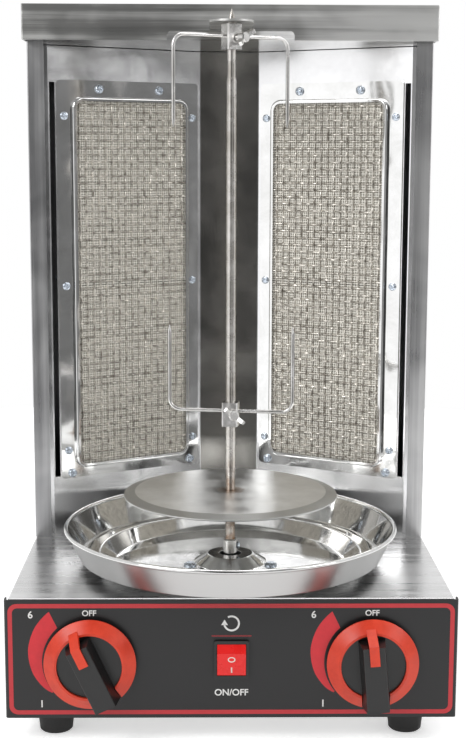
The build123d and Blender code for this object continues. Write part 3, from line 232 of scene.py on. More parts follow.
def new_group(name, inputs, outputs):
    """An empty shader node group. inputs holds (name, socket kind, value), outputs names."""
    tree = bpy.data.node_groups.new(name, "ShaderNodeTree")
    for socket, kind, value in inputs:
        tree.interface.new_socket(socket, in_out="INPUT", socket_type=kind).default_value = value
    for socket in outputs:
        tree.interface.new_socket(socket, in_out="OUTPUT", socket_type="NodeSocketFloat")
    return tree, put(tree, "NodeGroupInput").outputs


def bumped(tree, shader, height, depth):
    """Feeds a height into the shader's normal; depth is in metres."""
    bump = put(tree, "ShaderNodeBump", {"Height": height, "Distance": depth, "Strength": 1.0})
    tree.links.new(bump.outputs[0], shader.inputs["Normal"])


def overlay(tree, shader, mask, colour, kind="MIX"):
    """Lays a colour over what feeds the shader's Base Color, where the mask is 1."""
    under = shader.inputs["Base Color"].links[0].from_socket
    laid = put(tree, "ShaderNodeMix", {
        "Factor": mask, "A": under, "B": (*colour, 1)}, data_type="RGBA", blend_type=kind)
    tree.links.new(laid.outputs["Result"], shader.inputs["Base Color"])


def dress(finish, *names):
    """Puts a finish on CAD nodes."""
    for name in names:
        materials = node[name].data.materials
        materials.clear()
        materials.append(finish)


grain_tree, grain_in = new_group(
    "rolled_grain", [("Stretch", "NodeSocketVector", (20, 900, 900))], ["Height", "Streaks", "Smudges"])
grain_place = place_on(grain_tree)
along_grain = vector_step(grain_tree, "MULTIPLY", grain_place, grain_in["Stretch"])["Vector"]
put(grain_tree, "NodeGroupOutput", {
    "Height": noise(grain_tree, along_grain, 1.0, 3.0, 0.6),
    "Streaks": noise(grain_tree, along_grain, 0.13, 4.0, 0.7),
    "Smudges": noise(grain_tree, grain_place, smudge_size, 3.0, 0.55, 0.6)})


def brushed_steel(name, stretch, dark, light, smooth, rough, painted_shade_reach=0.0):
    """Rolled sheet: streaks set the tone, smudges the roughness, fine grain the bump.

    Over that reach to either side, painted shade darkens the left and painted light the right."""
    made, tree, shader = new_material(name, 0.3, 1.0)
    grain = put(tree, "ShaderNodeGroup", node_tree=grain_tree)
    grain.inputs["Stretch"].default_value = stretch
    marks = mixed(tree, smudge_share, grain.outputs["Streaks"], grain.outputs["Smudges"])
    tone = span(tree, marks, 0.0, 1.0, grain_low, grain_high)
    if painted_shade_reach:
        across = put(tree, "ShaderNodeSeparateXYZ", {"Vector": place_on(tree)}).outputs["X"]
        # Painted shade on the left and painted light on the right, added to the tone.
        painted_left_right_light = span(tree, across, -painted_shade_reach, painted_shade_reach, painted_shade_left, painted_light_right)
        tone = reckon(tree, "ADD", tone, painted_left_right_light, clamp=True)
    tree.links.new(blend_colours(tree, tone, dark, light), shader.inputs["Base Color"])
    tree.links.new(span(tree, marks, smooth, rough, grain_low, grain_high), shader.inputs["Roughness"])
    bumped(tree, shader, grain.outputs["Height"], grain_depth)
    return made


deck_steel = brushed_steel("deck_steel", (14, 900, 900), grey(0.76), grey(0.97), 0.2, 0.34, painted_shade_reach=0.2)
mill_steel = brushed_steel("mill_steel", (40, 500, 500), grey(0.4), (0.6, 0.6, 0.59), 0.35, 0.5)
tree = deck_steel.node_tree
# Painted shade: the deck steel is darkened where its faces turn sideways.
deck_normal = put(tree, "ShaderNodeTexCoord").outputs["Normal"]
sideways = reckon(tree, "ABSOLUTE", put(tree, "ShaderNodeSeparateXYZ", {"Vector": deck_normal}).outputs["X"])
side_painted_shade = span(tree, sideways, 0.0, 1.0, side_from, side_to)
overlay(tree, tree.nodes["Principled BSDF"], side_painted_shade, side_shade_tone, "MULTIPLY")
dress(deck_steel, "base_shell")
dress(mill_steel, "base_floor")


# Feet and cable gland: black rubber feet pressed in moulds and bolted under the floor, and a
# plastic gland in the rear wall. Both have the fine skin of their moulds.
cloud_low, cloud_high = 0.35, 0.65
skin_size, plastic_skin, rubber_skin = 1400.0, 0.00003, 0.00008


def moulded(name, dark, light, smooth, rough, skin=plastic_skin):
    """Moulded plastic: a fine skin in the bump and dull handled patches in the gloss."""
    made, tree, shader = new_material(name, smooth)
    place = place_on(tree)
    patch = span(tree, noise(tree, place, 60.0, 5.0, 0.65), 0.0, 1.0, cloud_low, cloud_high)
    tree.links.new(blend_colours(tree, patch, dark, light), shader.inputs["Base Color"])
    tree.links.new(span(tree, patch, smooth, rough), shader.inputs["Roughness"])
    bumped(tree, shader, noise(tree, place, skin_size, 2.0), skin)
    return made


foot_rubber = moulded("foot_rubber", grey(0.012), (0.03, 0.029, 0.028), 0.65, 0.85, skin=rubber_skin)
gland_black = moulded("gland_black", grey(0.016), grey(0.03), 0.45, 0.6)
dress(foot_rubber, "rubber_feet")
dress(gland_black, "cable_gland")


# Inside the base: turned brass valves, jets, manifold and inlet, bent copper feed pipes, and a
# grey painted motor on a plain steel bracket. The boxes and venturis behind the liner are of
# the same plain sheet.
turning_size, turning_depth = 700.0, 0.00003


def turned_metal(name, dark, light, smooth, rough):
    """Satin bar stock with fine turning marks and slow clouds in its tone."""
    made, tree, shader = new_material(name, smooth, 1.0)
    place = place_on(tree)
    cloud = span(tree, noise(tree, place, 45.0, 4.0, 0.6), 0.0, 1.0, cloud_low, cloud_high)
    tree.links.new(blend_colours(tree, cloud, dark, light), shader.inputs["Base Color"])
    tree.links.new(span(tree, cloud, smooth, rough), shader.inputs["Roughness"])
    bumped(tree, shader, noise(tree, place, turning_size, 2.0), turning_depth)
    return made


brass = turned_metal("brass", (0.5, 0.35, 0.13), (0.72, 0.53, 0.25), 0.24, 0.4)
copper = turned_metal("copper", (0.5, 0.22, 0.13), (0.75, 0.38, 0.25), 0.22, 0.4)
motor_grey = moulded("motor_grey", (0.2, 0.21, 0.22), (0.27, 0.28, 0.29), 0.35, 0.5)
dress(brass, "gas_manifold", "gas_jets", "gas_inlet", "inlet_nut", "gas_valve_left", "gas_valve_right",
      "valve_spindle_left", "valve_spindle_right")
dress(copper, "feed_pipes")
dress(motor_grey, "gear_motor")
dress(mill_steel, "motor_bracket", "motor_shaft", "burner_box_left", "burner_box_right",
      "venturi_tube_left", "venturi_tube_right")


# Casing: side panels whose front flanges are the posts, rear walls, roof plate and the folded
# hood with the skewer's guide, all of brushed sheet and screwed together. Their tone carries
# painted shade on the left and painted light on the right, most strongly on the hood.
post_steel = brushed_steel(
    "post_steel", (900, 900, 12), (0.4, 0.4, 0.41), grey(0.72), 0.26, 0.42, painted_shade_reach=0.2)
hood_steel = brushed_steel(
    "hood_steel", (12, 900, 900), (0.36, 0.36, 0.35), (0.98, 0.98, 0.96), 0.28, 0.46, painted_shade_reach=0.55)
dress(post_steel, "side_panel_left", "side_panel_right", "base_rear", "rear_cover")
dress(hood_steel, "hood", "roof_plate", "skewer_guide")


# Liner, skirt and burner frames: pressed from thin bright-annealed sheet, so reflections wave a
# little, with fine wiping scratches. The narrow panel between the wings has a painted dark reflection.
back_panel_painted_reflection = (0.4, 0.39, 0.37)
back_panel_inside, back_panel_outside = 0.0228, 0.0232
wave_tree, wave_in = new_group(
    "sheet_waves",
    [("Wave Size", "NodeSocketFloat", 12.0), ("Haze Size", "NodeSocketFloat", 30.0)],
    ["Height", "Haze"])
wave_place = place_on(wave_tree)
put(wave_tree, "NodeGroupOutput", {
    "Height": noise(wave_tree, wave_place, wave_in["Wave Size"], 1.0, 0.4),
    "Haze": noise(wave_tree, wave_place, wave_in["Haze Size"], 6.0, 0.65, 0.4)})


def polished_steel(name, dark, light, smooth, rough, wave_size, wave_depth, haze_size=30.0):
    """Bright sheet: slow waves in the normal, haze in the roughness and the tone."""
    made, tree, shader = new_material(name, smooth, 1.0)
    waves = put(tree, "ShaderNodeGroup", node_tree=wave_tree)
    waves.inputs["Wave Size"].default_value = wave_size
    waves.inputs["Haze Size"].default_value = haze_size
    haze = waves.outputs["Haze"]
    tone = span(tree, haze, 0.0, 1.0, cloud_low, cloud_high)
    tree.links.new(blend_colours(tree, tone, dark, light), shader.inputs["Base Color"])
    tree.links.new(span(tree, haze, smooth, rough, cloud_low, cloud_high), shader.inputs["Roughness"])
    bumped(tree, shader, waves.outputs["Height"], wave_depth)
    return made


liner_steel = polished_steel("liner_steel", (0.82, 0.82, 0.83), (0.94, 0.94, 0.95), 0.16, 0.25, 9.0, 0.0005)
frame_steel = polished_steel("frame_steel", (0.76, 0.76, 0.75), grey(0.9), 0.05, 0.1, 26.0, 0.0012)
tree = liner_steel.node_tree
across = put(tree, "ShaderNodeSeparateXYZ", {"Vector": place_on(tree)}).outputs["X"]
from_middle = reckon(tree, "ABSOLUTE", across)
# Painted dark reflection: the narrow middle of the liner is darkened as if it mirrored a dark room.
back_panel_reflection_mask = span(tree, from_middle, 1.0, 0.0, back_panel_inside, back_panel_outside)
overlay(tree, tree.nodes["Principled BSDF"], back_panel_reflection_mask, back_panel_painted_reflection)
dress(liner_steel, "inner_liner", "liner_skirt")
dress(frame_steel, "burner_frame_left", "burner_frame_right")


# Burner tiles: off-white porous ceramic, pierced all over with small flame holes. Two stand one
# over the other in each wing, behind the burner frame.
wing_angle = math.radians(30.66)
hole_pitch = 1.9
hole_edge_inside, hole_edge_outside = 0.24, 0.34
hole_depth = 0.0006
ceramic, tree, shader = new_material("ceramic", 0.85)
holes_per_metre = 1000 / hole_pitch
hole_grid = (holes_per_metre / math.cos(wing_angle), 0, holes_per_metre)
in_pitches = vector_step(tree, "MULTIPLY", place_on(tree), hole_grid)["Vector"]
in_cell = vector_step(tree, "FRACTION", in_pitches)["Vector"]
from_centre = vector_step(tree, "SUBTRACT", in_cell, (0.5, 0, 0.5))["Vector"]
from_hole = vector_step(tree, "LENGTH", from_centre)["Value"]
# Painted shade: the flame holes are coloured dark as the shade inside them; the same mask sinks them in the
# bump.
hole_shape_and_shade = span(tree, from_hole, 0.0, 1.0, hole_edge_inside, hole_edge_outside)
tree.links.new(
    blend_colours(tree, hole_shape_and_shade, (0.3, 0.28, 0.23), (0.98, 0.95, 0.87)), shader.inputs["Base Color"])
bumped(tree, shader, hole_shape_and_shade, hole_depth)
dress(ceramic, "burner_tiles_left", "burner_tiles_right")


# Burner mesh: crimped steel wires, woven one over and one under, held flat in front of the
# tiles by the bead of the burner frame. Heat has dulled them to a warm grey.
wing_start = from_drawing((-137.2, 157.2, 0))
wing_along = np.array((math.cos(wing_angle), math.sin(wing_angle), 0))
wing_out = np.array((math.sin(wing_angle), -math.cos(wing_angle), 0))
mesh_middle = np.array((68.95, 299.35, 2.55))
mesh_half_s, mesh_half_v = 47.5, 140.75
mesh_margin, mesh_corner = 1.3, 7.0
wire_radius, wire_swing = 0.66, 0.55
wires_across, wires_up = 17, 52
wire_sides, steps_per_cell = 6, 4
cool_rough, heated_rough, scale_depth = 0.26, 0.5, 0.0001


def from_wing(points, flip=False):
    """Points (s, v, w) in millimetres on the left wing to the row frame; flip is the right wing."""
    placed = wing_start + np.asarray(points, float) / 1000 @ np.array((wing_along, (0, 0, 1), wing_out))
    return placed * (-1, 1, 1) if flip else placed


def tube_mesh(lines, radius, sides):
    """Round tubes along centre lines (wires, points, 3): rings c + radius (a cos t + b sin t)."""
    wires, count, _ = lines.shape
    ahead = np.gradient(lines, axis=1)
    ahead /= np.linalg.norm(ahead, axis=2, keepdims=True)
    side = np.cross(ahead, (0.0, 0.0, 1.0))
    side /= np.linalg.norm(side, axis=2, keepdims=True)
    up = np.cross(side, ahead)
    angle = np.arange(sides)[:, None] * 2 * math.pi / sides
    points = lines[:, :, None] + (side[:, :, None] * np.cos(angle) + up[:, :, None] * np.sin(angle)) * radius
    index = np.arange(wires * count * sides).reshape(wires, count, sides)
    beside = np.roll(index, -1, axis=2)
    quads = np.stack((index[:, :-1], beside[:, :-1], beside[:, 1:], index[:, 1:]), axis=-1).reshape(-1, 4)
    caps = np.concatenate((index[:, 0, ::-1], index[:, -1]))
    return points.reshape(-1, 3), quads, caps


def woven_net():
    """Weft and warp wires; each swings out by a cos(pi (run / pitch + phase)), neighbours opposite.

    They end on the rounded outline of the frame's opening: half - c + sqrt(c^2 - into_corner^2)."""
    points, quads, caps, start = [], [], [], 0
    weft = (wires_up, wires_across, mesh_half_v, mesh_half_s)
    warp = (wires_across, wires_up, mesh_half_s, mesh_half_v)
    for is_warp, (count, cells, half_across, half_along) in enumerate((weft, warp)):
        offset = (np.arange(count) - (count - 1) / 2) * 2 * half_across / count
        into_corner = np.maximum(np.abs(offset) - (half_across + mesh_margin - mesh_corner), 0)
        rounding = np.sqrt(np.maximum(mesh_corner ** 2 - into_corner ** 2, 0))
        ends = half_along + mesh_margin - mesh_corner + rounding
        run = np.linspace(-1, 1, cells * steps_per_cell + 1) * ends[:, None]
        phase = np.arange(count)[:, None] + is_warp + cells / 2 - 0.5
        swing = wire_swing * np.cos(math.pi * (run * cells / (2 * half_along) + phase))
        across = np.broadcast_to(offset[:, None], run.shape)
        line = (across, run, swing) if is_warp else (run, across, swing)
        wire_points, wire_quads, wire_caps = tube_mesh(np.stack(line, axis=-1), wire_radius, wire_sides)
        points.append(wire_points)
        quads.append(wire_quads + start)
        caps.append(wire_caps + start)
        start += len(wire_points)
    faces = np.concatenate(quads).tolist() + np.concatenate(caps).tolist()
    return np.concatenate(points) + mesh_middle, faces


def new_piece(name, points, faces, finish, body, smooth=True, flip=False):
    """A mesh piece in the row frame that rides on a body; flip turns its faces round."""
    mesh = bpy.data.meshes.new(name)
    mesh.from_pydata(points.tolist(), [], [face[::-1] for face in faces] if flip else faces)
    mesh.validate()
    mesh.shade_smooth() if smooth else mesh.shade_flat()
    mesh.materials.append(finish)
    piece = bpy.data.objects.new(name, mesh)
    bpy.context.scene.collection.objects.link(piece)
    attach(piece, body)
    return piece


wire_steel, tree, shader = new_material("wire_steel", 0.34, 0.9)
wire_heat = noise(tree, place_on(tree), 220.0, 3.0, 0.7)
wire_tone = span(tree, wire_heat, 0.0, 1.0, cloud_low, cloud_high)
tree.links.new(
    blend_colours(tree, wire_tone, (0.26, 0.235, 0.2), (0.93, 0.89, 0.82)), shader.inputs["Base Color"])
tree.links.new(span(tree, wire_tone, heated_rough, cool_rough), shader.inputs["Roughness"])
bumped(tree, shader, wire_heat, scale_depth)
net_points, net_faces = woven_net()
for side, flip in (("left", False), ("right", True)):
    net = new_piece("woven_mesh_" + side, from_wing(net_points, flip), net_faces, wire_steel,
                    "frame", flip=flip)
    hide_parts("burner_mesh_" + side)


# Screws and bolts: zinc-plated steel with cross recesses. The burner frames have pan heads at
# their sides and domed heads at their top and bottom, each turned as the driver left it.
pan_head = (4.0, 1.5, 3.0, 1.8)
dome_head = (4.0, 1.5, 3.4, 2.6)
head_rings, head_turns = 16, 40
bright_rough, dull_rough, bloom_depth = 0.18, 0.36, 0.00003
cross_reach, cross_width, cross_depth = 0.62, 0.13, 0.45
slot_edge, slot_end = 0.4, 0.25
tip_radius, screw_spin = 0.001, 0.7
frame_face = 1.0
mesh_s, mesh_v, _ = mesh_middle
row_reach, side_columns = 129.45, (12.475, 124.425)
top_row, top_columns = 449.45, (mesh_s - 26.6, mesh_s + 25.7)
low_row, low_columns = 151.65, (15.475, 121.425)
side_rows = (mesh_v - row_reach, mesh_v, mesh_v + row_reach)
side_places = [(s, v, frame_face) for v in side_rows for s in side_columns]
dome_places = [
    (s, v, frame_face) for v, columns in ((top_row, top_columns), (low_row, low_columns)) for s in columns]


def screw_mesh(length, radius, head, height):
    """A screw with its head's underside at z = 0: x = r cos t, y = r sin t round a profile (r, z).

    The crown is (head sin a, height (0.3 + 0.7 cos^0.8 a)). A cross is sunk in it, where the
    nearer of |x| and |y| is under the slot's half width and the other within its reach."""
    crown = np.linspace(0, 1, head_rings) * math.pi / 2
    shank = np.array((
        (head, 0.0), (radius, 0.0), (radius, radius * 0.6 - length), (radius * 0.7, -length),
        (tip_radius, -length)))
    profile_r = np.concatenate((head * np.sin(crown), shank[:, 0]))
    profile_z = np.concatenate((height * (0.3 + 0.7 * np.cos(crown) ** 0.8), shank[:, 1]))
    angle = np.arange(head_turns) * 2 * math.pi / head_turns
    x = profile_r[:, None] * np.cos(angle)
    y = profile_r[:, None] * np.sin(angle)
    z = np.repeat(profile_z[:, None], head_turns, axis=1)
    reach, width = head * cross_reach, head * cross_width
    near = np.minimum(np.abs(x), np.abs(y))
    far = np.maximum(np.abs(x), np.abs(y))
    in_slot = np.clip((width - near) / (width * slot_edge) + 1, 0, 1)
    in_reach = np.clip((reach - far) / (reach * slot_end), 0, 1)
    z[:head_rings] -= (in_slot * in_reach * height * cross_depth)[:head_rings]
    index = np.arange(x.size).reshape(x.shape)
    beside = np.roll(index, -1, axis=1)
    quads = np.stack((index[:-1], index[1:], beside[1:], beside[:-1]), axis=-1).reshape(-1, 4)
    return np.stack((x, y, z), axis=-1).reshape(-1, 3), quads


def screw_set(name, screws, finish, *replaced):
    """Many screws as one piece. screws holds (place, direction of the head, screw sizes)."""
    points, quads, start = [], [], 0
    for number, (place, out, sizes) in enumerate(screws):
        screw, screw_quads = screw_mesh(*sizes)
        turn = Vector(out).to_track_quat("Z", "Y").to_matrix() @ Matrix.Rotation(screw_spin * number, 3, "Z")
        points.append(screw @ np.array(turn).T / 1000 + place)
        quads.append(screw_quads + start)
        start += len(screw)
    faces = np.concatenate(quads).tolist()
    piece = new_piece(name, np.concatenate(points), faces, finish, "frame")
    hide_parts(*replaced)


zinc, tree, shader = new_material("zinc", 0.25, 1.0)
zinc_bloom = noise(tree, place_on(tree), 500.0, 3.0)
tree.links.new(
    blend_colours(tree, zinc_bloom, (0.5, 0.56, 0.64), (0.76, 0.82, 0.9)), shader.inputs["Base Color"])
tree.links.new(span(tree, zinc_bloom, bright_rough, dull_rough), shader.inputs["Roughness"])
bumped(tree, shader, zinc_bloom, bloom_depth)
dress(zinc, "foot_bolts", "case_screws", "hub_screw", "disc_pin")
screw_set("burner_screw_heads", [
    (from_wing(place, flip), wing_out * (-1, 1, 1) if flip else wing_out, sizes)
    for flip in (False, True)
    for places, sizes in ((side_places, pan_head), (dome_places, dome_head))
    for place in places], zinc, "burner_screws")


# Drip pan: spun from one bright sheet over a former, with a dome, a drip ring and a rolled rim.
# Its inside is polished. The outside of its wall keeps the satin marks of the spinning tool.
skewer_y, deck_height, pan_gauge = 87.9, 102.0, 0.8
pan_line = (
    (8.1, 6.1, 0.0), (16.7, 6.1, 1.5), (26.5, 0.0, 1.5), (86.0, 0.0, 1.5), (95.9, 9.6, 1.5),
    (108.0, 7.0, 1.2), (111.0, 7.7, 1.5), (120.5, 28.4, 0.0))
roll_radius, roll_turns = 1.6, 20
bend_steps, pan_turns = 6, 224
long_run, hold_reach = 3.0, 0.5
satin_rough, satin_tone = 0.3, (0.5, 0.5, 0.495)
satin_full, satin_none = -0.12, 0.05


def rounded_path(corners):
    """A line of (r, z, bend) corners; each bend is an arc that touches both of its straight runs.

    Long runs get a point near each end, so that they shade flat up to the bend."""
    path = [np.array(corners[0][:2])]
    for before, corner, after in zip(corners, corners[1:], corners[2:]):
        here, bend = np.array(corner[:2]), corner[2]
        back = (np.array(before[:2]) - here) / math.dist(before[:2], here)
        ahead = (np.array(after[:2]) - here) / math.dist(after[:2], here)
        half = math.acos(float(np.clip(back @ ahead, -1, 1))) / 2
        middle = here + (back + ahead) / np.linalg.norm(back + ahead) * bend / math.sin(half)
        start = here + back * bend / math.tan(half) - middle
        end = here + ahead * bend / math.tan(half) - middle
        for share in np.linspace(0, 1, bend_steps):
            spoke = start * (1 - share) + end * share
            path.append(middle + spoke / np.linalg.norm(spoke) * bend)
    path.append(np.array(corners[-1][:2]))
    held = [path[0]]
    for start, end in zip(path, path[1:]):
        run = end - start
        length = math.dist(start, end)
        if length > long_run:
            held += [start + run * hold_reach / length, (start + end) / 2, end - run * hold_reach / length]
        held.append(end)
    return np.array(held)


def turned_shell(outline):
    """A closed (r, z) outline turned round the pan's axis: x = r cos t, y = r sin t."""
    angle = np.arange(pan_turns) * 2 * math.pi / pan_turns
    x, y = outline[:, :1] * np.cos(angle), outline[:, :1] * np.sin(angle) + skewer_y
    z = np.repeat(outline[:, 1:] + deck_height, pan_turns, axis=1)
    index = np.arange(len(outline) * pan_turns).reshape(len(outline), pan_turns)
    ahead, up = np.roll(index, -1, axis=1), np.roll(index, -1, axis=0)
    quads = np.stack((index, ahead, np.roll(ahead, -1, axis=0), up), axis=-1).reshape(-1, 4)
    return from_drawing(np.stack((x, y, z), axis=-1).reshape(-1, 3)), quads


def arc_points(x, z, radius, angle):
    """Points (x + r cos a, z + r sin a)."""
    return np.column_stack((x + radius * np.cos(angle), z + radius * np.sin(angle)))


pan_steel = polished_steel(
    "pan_steel", (0.74, 0.74, 0.73), (0.88, 0.88, 0.87), 0.04, 0.1, 14.0, 0.0006, haze_size=55.0)
tree = pan_steel.node_tree
shader = tree.nodes["Principled BSDF"]
facing = put(tree, "ShaderNodeSeparateXYZ", {
    "Vector": put(tree, "ShaderNodeNewGeometry").outputs["Normal"]}).outputs["Z"]
under_side = span(tree, facing, 1.0, 0.0, satin_full, satin_none)
polish = shader.inputs["Roughness"].links[0].from_socket
tree.links.new(mixed(tree, under_side, polish, satin_rough), shader.inputs["Roughness"])
overlay(tree, shader, under_side, satin_tone)
lower_line = rounded_path(pan_line)
run = np.gradient(lower_line, axis=0)
run /= np.linalg.norm(run, axis=1, keepdims=True)
upper_line = lower_line + np.column_stack((-run[:, 1], run[:, 0])) * pan_gauge
pan_points, pan_quads = turned_shell(np.concatenate((lower_line, upper_line[::-1])))
rim_r, rim_z, _ = pan_line[-1]
roll_points, roll_quads = turned_shell(
    arc_points(rim_r, rim_z, roll_radius, np.arange(roll_turns) * 2 * math.pi / roll_turns))
spun_pan = new_piece(
    "spun_pan", np.concatenate((pan_points, roll_points)),
    np.concatenate((pan_quads, roll_quads + len(pan_points))).tolist(), pan_steel, "frame")
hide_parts("drip_pan", "drip_pan_dome", "drip_pan_ring", "drip_pan_wall")


# Hub, skewer and forks: satin steel bar, turned or bent, with clamps pinched by wing screws.
# Heat has browned the skewer near the disc.
rust_brown = (0.2, 0.1, 0.04)
brown_from, brown_to = 0.155, 0.185
faint_brown, strong_brown = 0.15, 0.95
bright_bar = turned_metal("bright_bar", (0.6, 0.59, 0.57), (0.8, 0.79, 0.78), 0.14, 0.3)
skewer_steel = turned_metal("skewer_steel", (0.5, 0.47, 0.43), (0.74, 0.72, 0.69), 0.18, 0.34)
tree = skewer_steel.node_tree
place = place_on(tree)
height = put(tree, "ShaderNodeSeparateXYZ", {"Vector": place}).outputs["Z"]
near_disc = span(tree, height, 1.0, 0.0, brown_from, brown_to)
stain = span(tree, noise(tree, place, 160.0, 5.0, 0.7), faint_brown, strong_brown, cloud_low, cloud_high)
overlay(tree, tree.nodes["Principled BSDF"], reckon(tree, "MULTIPLY", near_disc, stain), rust_brown)
dress(skewer_steel, "skewer")
dress(bright_bar, "drive_hub", "lower_fork", "lower_clamp", "lower_wing_screw",
      "upper_fork", "upper_clamp", "upper_wing_screw")


# Meat disc: a turned steel plate pinned on the skewer, with a bevelled edge darkened by painted
# shade. A ragged ring of rust has grown round the skewer.
rust_ring = (0.3, 0.17, 0.08)
rust_cover, rust_raggedness, rust_inside, rust_outside = 0.85, 0.016, 0.012, 0.02
bevel_inside, bevel_outside, bevel_shade_tone = 0.0698, 0.0704, (0.5, 0.5, 0.49)
disc_steel = turned_metal("disc_steel", (0.78, 0.78, 0.77), (0.9, 0.9, 0.89), 0.3, 0.42)
tree = disc_steel.node_tree
shader = tree.nodes["Principled BSDF"]
place = place_on(tree)
from_skewer = vector_step(tree, "SUBTRACT", place, tuple(from_drawing((0, skewer_y, 0))))["Vector"]
level_only = vector_step(tree, "MULTIPLY", from_skewer, (1, 1, 0))["Vector"]
radius = vector_step(tree, "LENGTH", level_only)["Value"]
ragged = reckon(tree, "MULTIPLY_ADD", noise(tree, place, 170.0, 5.0, 0.7), rust_raggedness, radius)
overlay(tree, shader, span(tree, ragged, rust_cover, 0.0, rust_inside, rust_outside), rust_ring)
# Painted shade on the sloped edge band of the disc.
overlay(tree, shader, span(tree, radius, 0.0, 1.0, bevel_inside, bevel_outside), bevel_shade_tone)
dress(disc_steel, "meat_disc")


# Control panel: a folded steel tray screwed to the front of the base, with a satin dark-grey
# coat sprayed on both faces.
paint_gloss, paint_dull, paint_skin = 0.36, 0.5, 0.00002
panel_paint, tree, shader = new_material("panel_paint", 0.42)
place = place_on(tree)
paint_cloud = noise(tree, place, 18.0, 4.0)
paint_tone = blend_colours(tree, paint_cloud, (0.006, 0.006, 0.0065), (0.012, 0.012, 0.0125))
tree.links.new(paint_tone, shader.inputs["Base Color"])
tree.links.new(span(tree, paint_cloud, paint_gloss, paint_dull), shader.inputs["Roughness"])
bumped(tree, shader, noise(tree, place, 900.0, 2.0), paint_skin)
dress(panel_paint, "control_panel")


# Screen print on the panel: a red border line, a red wedge beside each knob that grows towards
# full flame, and small white marks. The ink stands 0.1 mm proud.
ink_height, ink_thinning, ink_skin = 0.1, 0.82, 0.00002
panel_half, panel_low, panel_high = 155, 17, 101
border_inset, border_width = 2.6, 3.0
knob_places, knob_height = (("left", -96.5), ("right", 96.5)), 57.0
wedge_shares = (0, 0.2, 0.43, 0.7, 0.92, 1)
wedge_radii, wedge_inner_radius = (45.4, 45.0, 43.4, 40.0, 36.2, 34.2), 33.0
wedge_outer_turn, wedge_inner_turn = (127.8, 219.8), (132.5, 219.5)
underline_outer, underline_inner = (13.6, 75.2, 76.0, 0.3), (13.3, 75.4, 75.8, 0.1)
letter_weight = 0.00012
knob_figures = (
    ("high", "6", -40.5, 90.5, 7.0), ("low", "1", -33.5, 27.0, 7.0), ("off", "OFF", -0.5, 91.6, 5.6))
switch_words = ("ON/OFF", 0.0, 35.0, 6.4)


def raised_band(name, outlines, depths, face_y, closed, finish, body):
    """A thin band between an outer and an inner outline of (x, z) points on a panel's face.

    Each outline is set at y = face_y(z) + depth, behind and in front, and quads join the four
    lines. An open band is closed by a face at each end."""
    count = len(outlines[0])
    rims = [np.column_stack((line[:, 0], face_y(line[:, 1]) + depth, line[:, 1]))
            for depth in depths for line in outlines]
    here = np.arange(count if closed else count - 1)
    ahead = (here + 1) % count
    faces = np.concatenate([
        np.stack((a * count + here, a * count + ahead, b * count + ahead, b * count + here), axis=1)
        for a, b in ((2, 3), (3, 1), (1, 0), (0, 2))]).tolist()
    if not closed:
        faces += [[0, count, 3 * count, 2 * count], [2 * count - 1, count - 1, 3 * count - 1, 4 * count - 1]]
    new_piece(name, from_drawing(np.concatenate(rims)), faces, finish, body, smooth=False)


def flat_ink(name, outlines, finish, closed=False):
    """Ink between two outlines on the panel's flat front."""
    depths = (0.0, -ink_height)
    raised_band(name, outlines, depths, np.zeros_like, closed, finish, "frame")


def rounded_outline(half_x, low_z, high_z, corner, steps=8):
    """A rounded rectangle: four corner arcs of (x + c cos a, z + c sin a) in one closed line."""
    return np.concatenate([
        arc_points(x, z, corner, np.radians(start + np.linspace(0, 90, steps)))
        for x, z, start in (
            (half_x - corner, high_z - corner, 0), (corner - half_x, high_z - corner, 90),
            (corner - half_x, low_z + corner, 180), (half_x - corner, low_z + corner, 270))])


def panel_outline(inset, corner):
    """The panel's outline moved inwards."""
    return rounded_outline(panel_half - inset, panel_low + inset, panel_high - inset, corner)


def ink(name, colour):
    """Screen ink with a slightly uneven coat."""
    made, tree, shader = new_material(name, 0.4)
    coat = noise(tree, place_on(tree), 260.0, 3.0)
    thin = tuple(value * ink_thinning for value in colour)
    tree.links.new(blend_colours(tree, coat, thin, colour), shader.inputs["Base Color"])
    bumped(tree, shader, coat, ink_skin)
    return made


def printed(name, text, x, z, size):
    """A word or figure in white ink, flat on the panel, centred on a place."""
    curve = bpy.data.curves.new(name, "FONT")
    curve.body = text
    curve.size = size / 1000
    curve.align_x = "CENTER"
    curve.align_y = "CENTER"
    curve.extrude = ink_height / 2000
    curve.offset = letter_weight
    source = bpy.data.objects.new(name, curve)
    mesh = bpy.data.meshes.new_from_object(source)
    bpy.data.objects.remove(source)
    middle = Vector(from_drawing((x, -ink_height / 2, z)))
    mesh.transform(Matrix.Translation(middle) @ Matrix.Rotation(math.radians(90), 4, "X"))
    mesh.materials.clear()
    mesh.materials.append(white_ink)
    piece = bpy.data.objects.new(name, mesh)
    bpy.context.scene.collection.objects.link(piece)
    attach(piece, "frame")


red_ink = ink("red_ink", (0.62, 0.035, 0.045))
wedge_ink = ink("wedge_ink", (0.74, 0.028, 0.04))
white_ink = ink("white_ink", (0.9, 0.9, 0.88))
flat_ink("border_line", (
    panel_outline(border_inset, 6.0), panel_outline(border_inset + border_width, 3.5)), red_ink, closed=True)
flat_ink("switch_underline", (
    rounded_outline(*underline_outer, steps=3), rounded_outline(*underline_inner, steps=3)),
    red_ink, closed=True)
share = np.linspace(0, 1, 40)
outer_turn = np.radians(np.interp(share, (0, 1), wedge_outer_turn))
inner_turn = np.radians(np.interp(share, (0, 1), wedge_inner_turn))
for side, x in knob_places:
    flat_ink("flame_wedge_" + side, (
        arc_points(x, knob_height, np.interp(share, wedge_shares, wedge_radii), outer_turn),
        arc_points(x, knob_height, wedge_inner_radius, inner_turn)), wedge_ink)
    for end, text, aside, z, size in knob_figures:
        printed("figure_" + end + "_" + side, text, x + aside, z, size)
printed("switch_words", *switch_words)


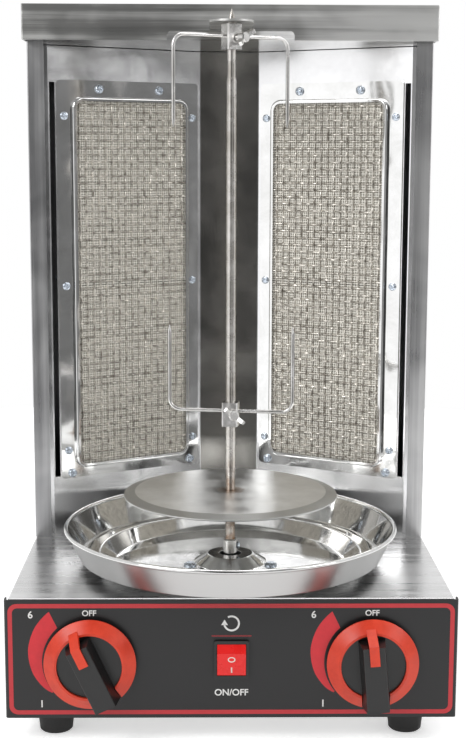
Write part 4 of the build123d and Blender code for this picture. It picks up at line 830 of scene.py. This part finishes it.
# Turning sign over the switch, in the same white ink: three quarters of a ring that ends in an
# arrow head, for the way the skewer turns.
sign_height, sign_radius, sign_line = 84.5, 5.0, 1.3
sign_start, sign_end = 120, -170
head_left, head_right = ((-2.2, -0.3), (0.0, 3.4)), ((2.4, -0.3), (0.2, 3.4))
sign_turn = np.radians(np.linspace(sign_start, sign_end, 40))
flat_ink("turning_sign", (
    arc_points(0.0, sign_height, sign_radius - sign_line / 2, sign_turn),
    arc_points(0.0, sign_height, sign_radius + sign_line / 2, sign_turn)), white_ink)
head_middle = arc_points(0.0, sign_height, sign_radius, sign_turn[-1:])
flat_ink("turning_sign_head", (head_middle + head_left, head_middle + head_right), white_ink)


# Knobs and switch: red rings with a bent pointer, black grips, a black bezel and a red rocker,
# all injection-moulded, with the faint orange-peel skin that the moulds give.
ring_red = moulded("ring_red", (0.64, 0.034, 0.008), (0.78, 0.056, 0.018), 0.28, 0.42)
grip_black = moulded("grip_black", grey(0.005), grey(0.012), 0.3, 0.42)
rocker_red = moulded("rocker_red", (0.8, 0.008, 0.006), (0.88, 0.012, 0.01), 0.22, 0.32)
dress(ring_red, "knob_ring_left", "knob_ring_right")
dress(grip_black, "knob_grip_left", "knob_grip_right", "switch_body")
dress(rocker_red, "rocker_paddle")


# Marks on the rocker: a ring for off and a bar for on, moulded in ivory plastic, 0.25 mm proud
# of its slightly leaning face. They tilt with it.
face_middle_y, face_middle_z, face_lean = -3.74, 56.44, math.radians(-1.72)
mark_back, mark_proud = 0.1, -0.25
ring_outer, ring_inner = (2.6, 1.9), (1.9, 1.25)
bar_half, bar_half_height, bar_opening = 0.45, 1.9, (0.1, 0.9)
off_height, on_height = 60.0, 52.6
mark_ivory = moulded("mark_ivory", (0.8, 0.74, 0.66), (0.9, 0.85, 0.78), 0.35, 0.5)


def rocker_face(z):
    """The depth of the rocker's face at a height: y = y0 + (z - z0) tan(lean)."""
    return face_middle_y + (z - face_middle_z) * math.tan(face_lean)


def rocker_mark(name, outer, inner, height):
    """A flat band between two outlines round a place on the rocker's face."""
    raised_band(
        name, (outer + (0, height), inner + (0, height)), (mark_back, mark_proud), rocker_face, True,
        mark_ivory, "rocker")


ring_outline = arc_points(0.0, 0.0, 1.0, np.linspace(0, 2 * math.pi, 40, endpoint=False))
bar_outline = np.array(((1, 1), (-1, 1), (-1, -1), (1, -1))) * (bar_half, bar_half_height)
rocker_mark("mark_off", ring_outline * ring_outer, ring_outline * ring_inner, off_height)
rocker_mark("mark_on", bar_outline, bar_outline * bar_opening, on_height)
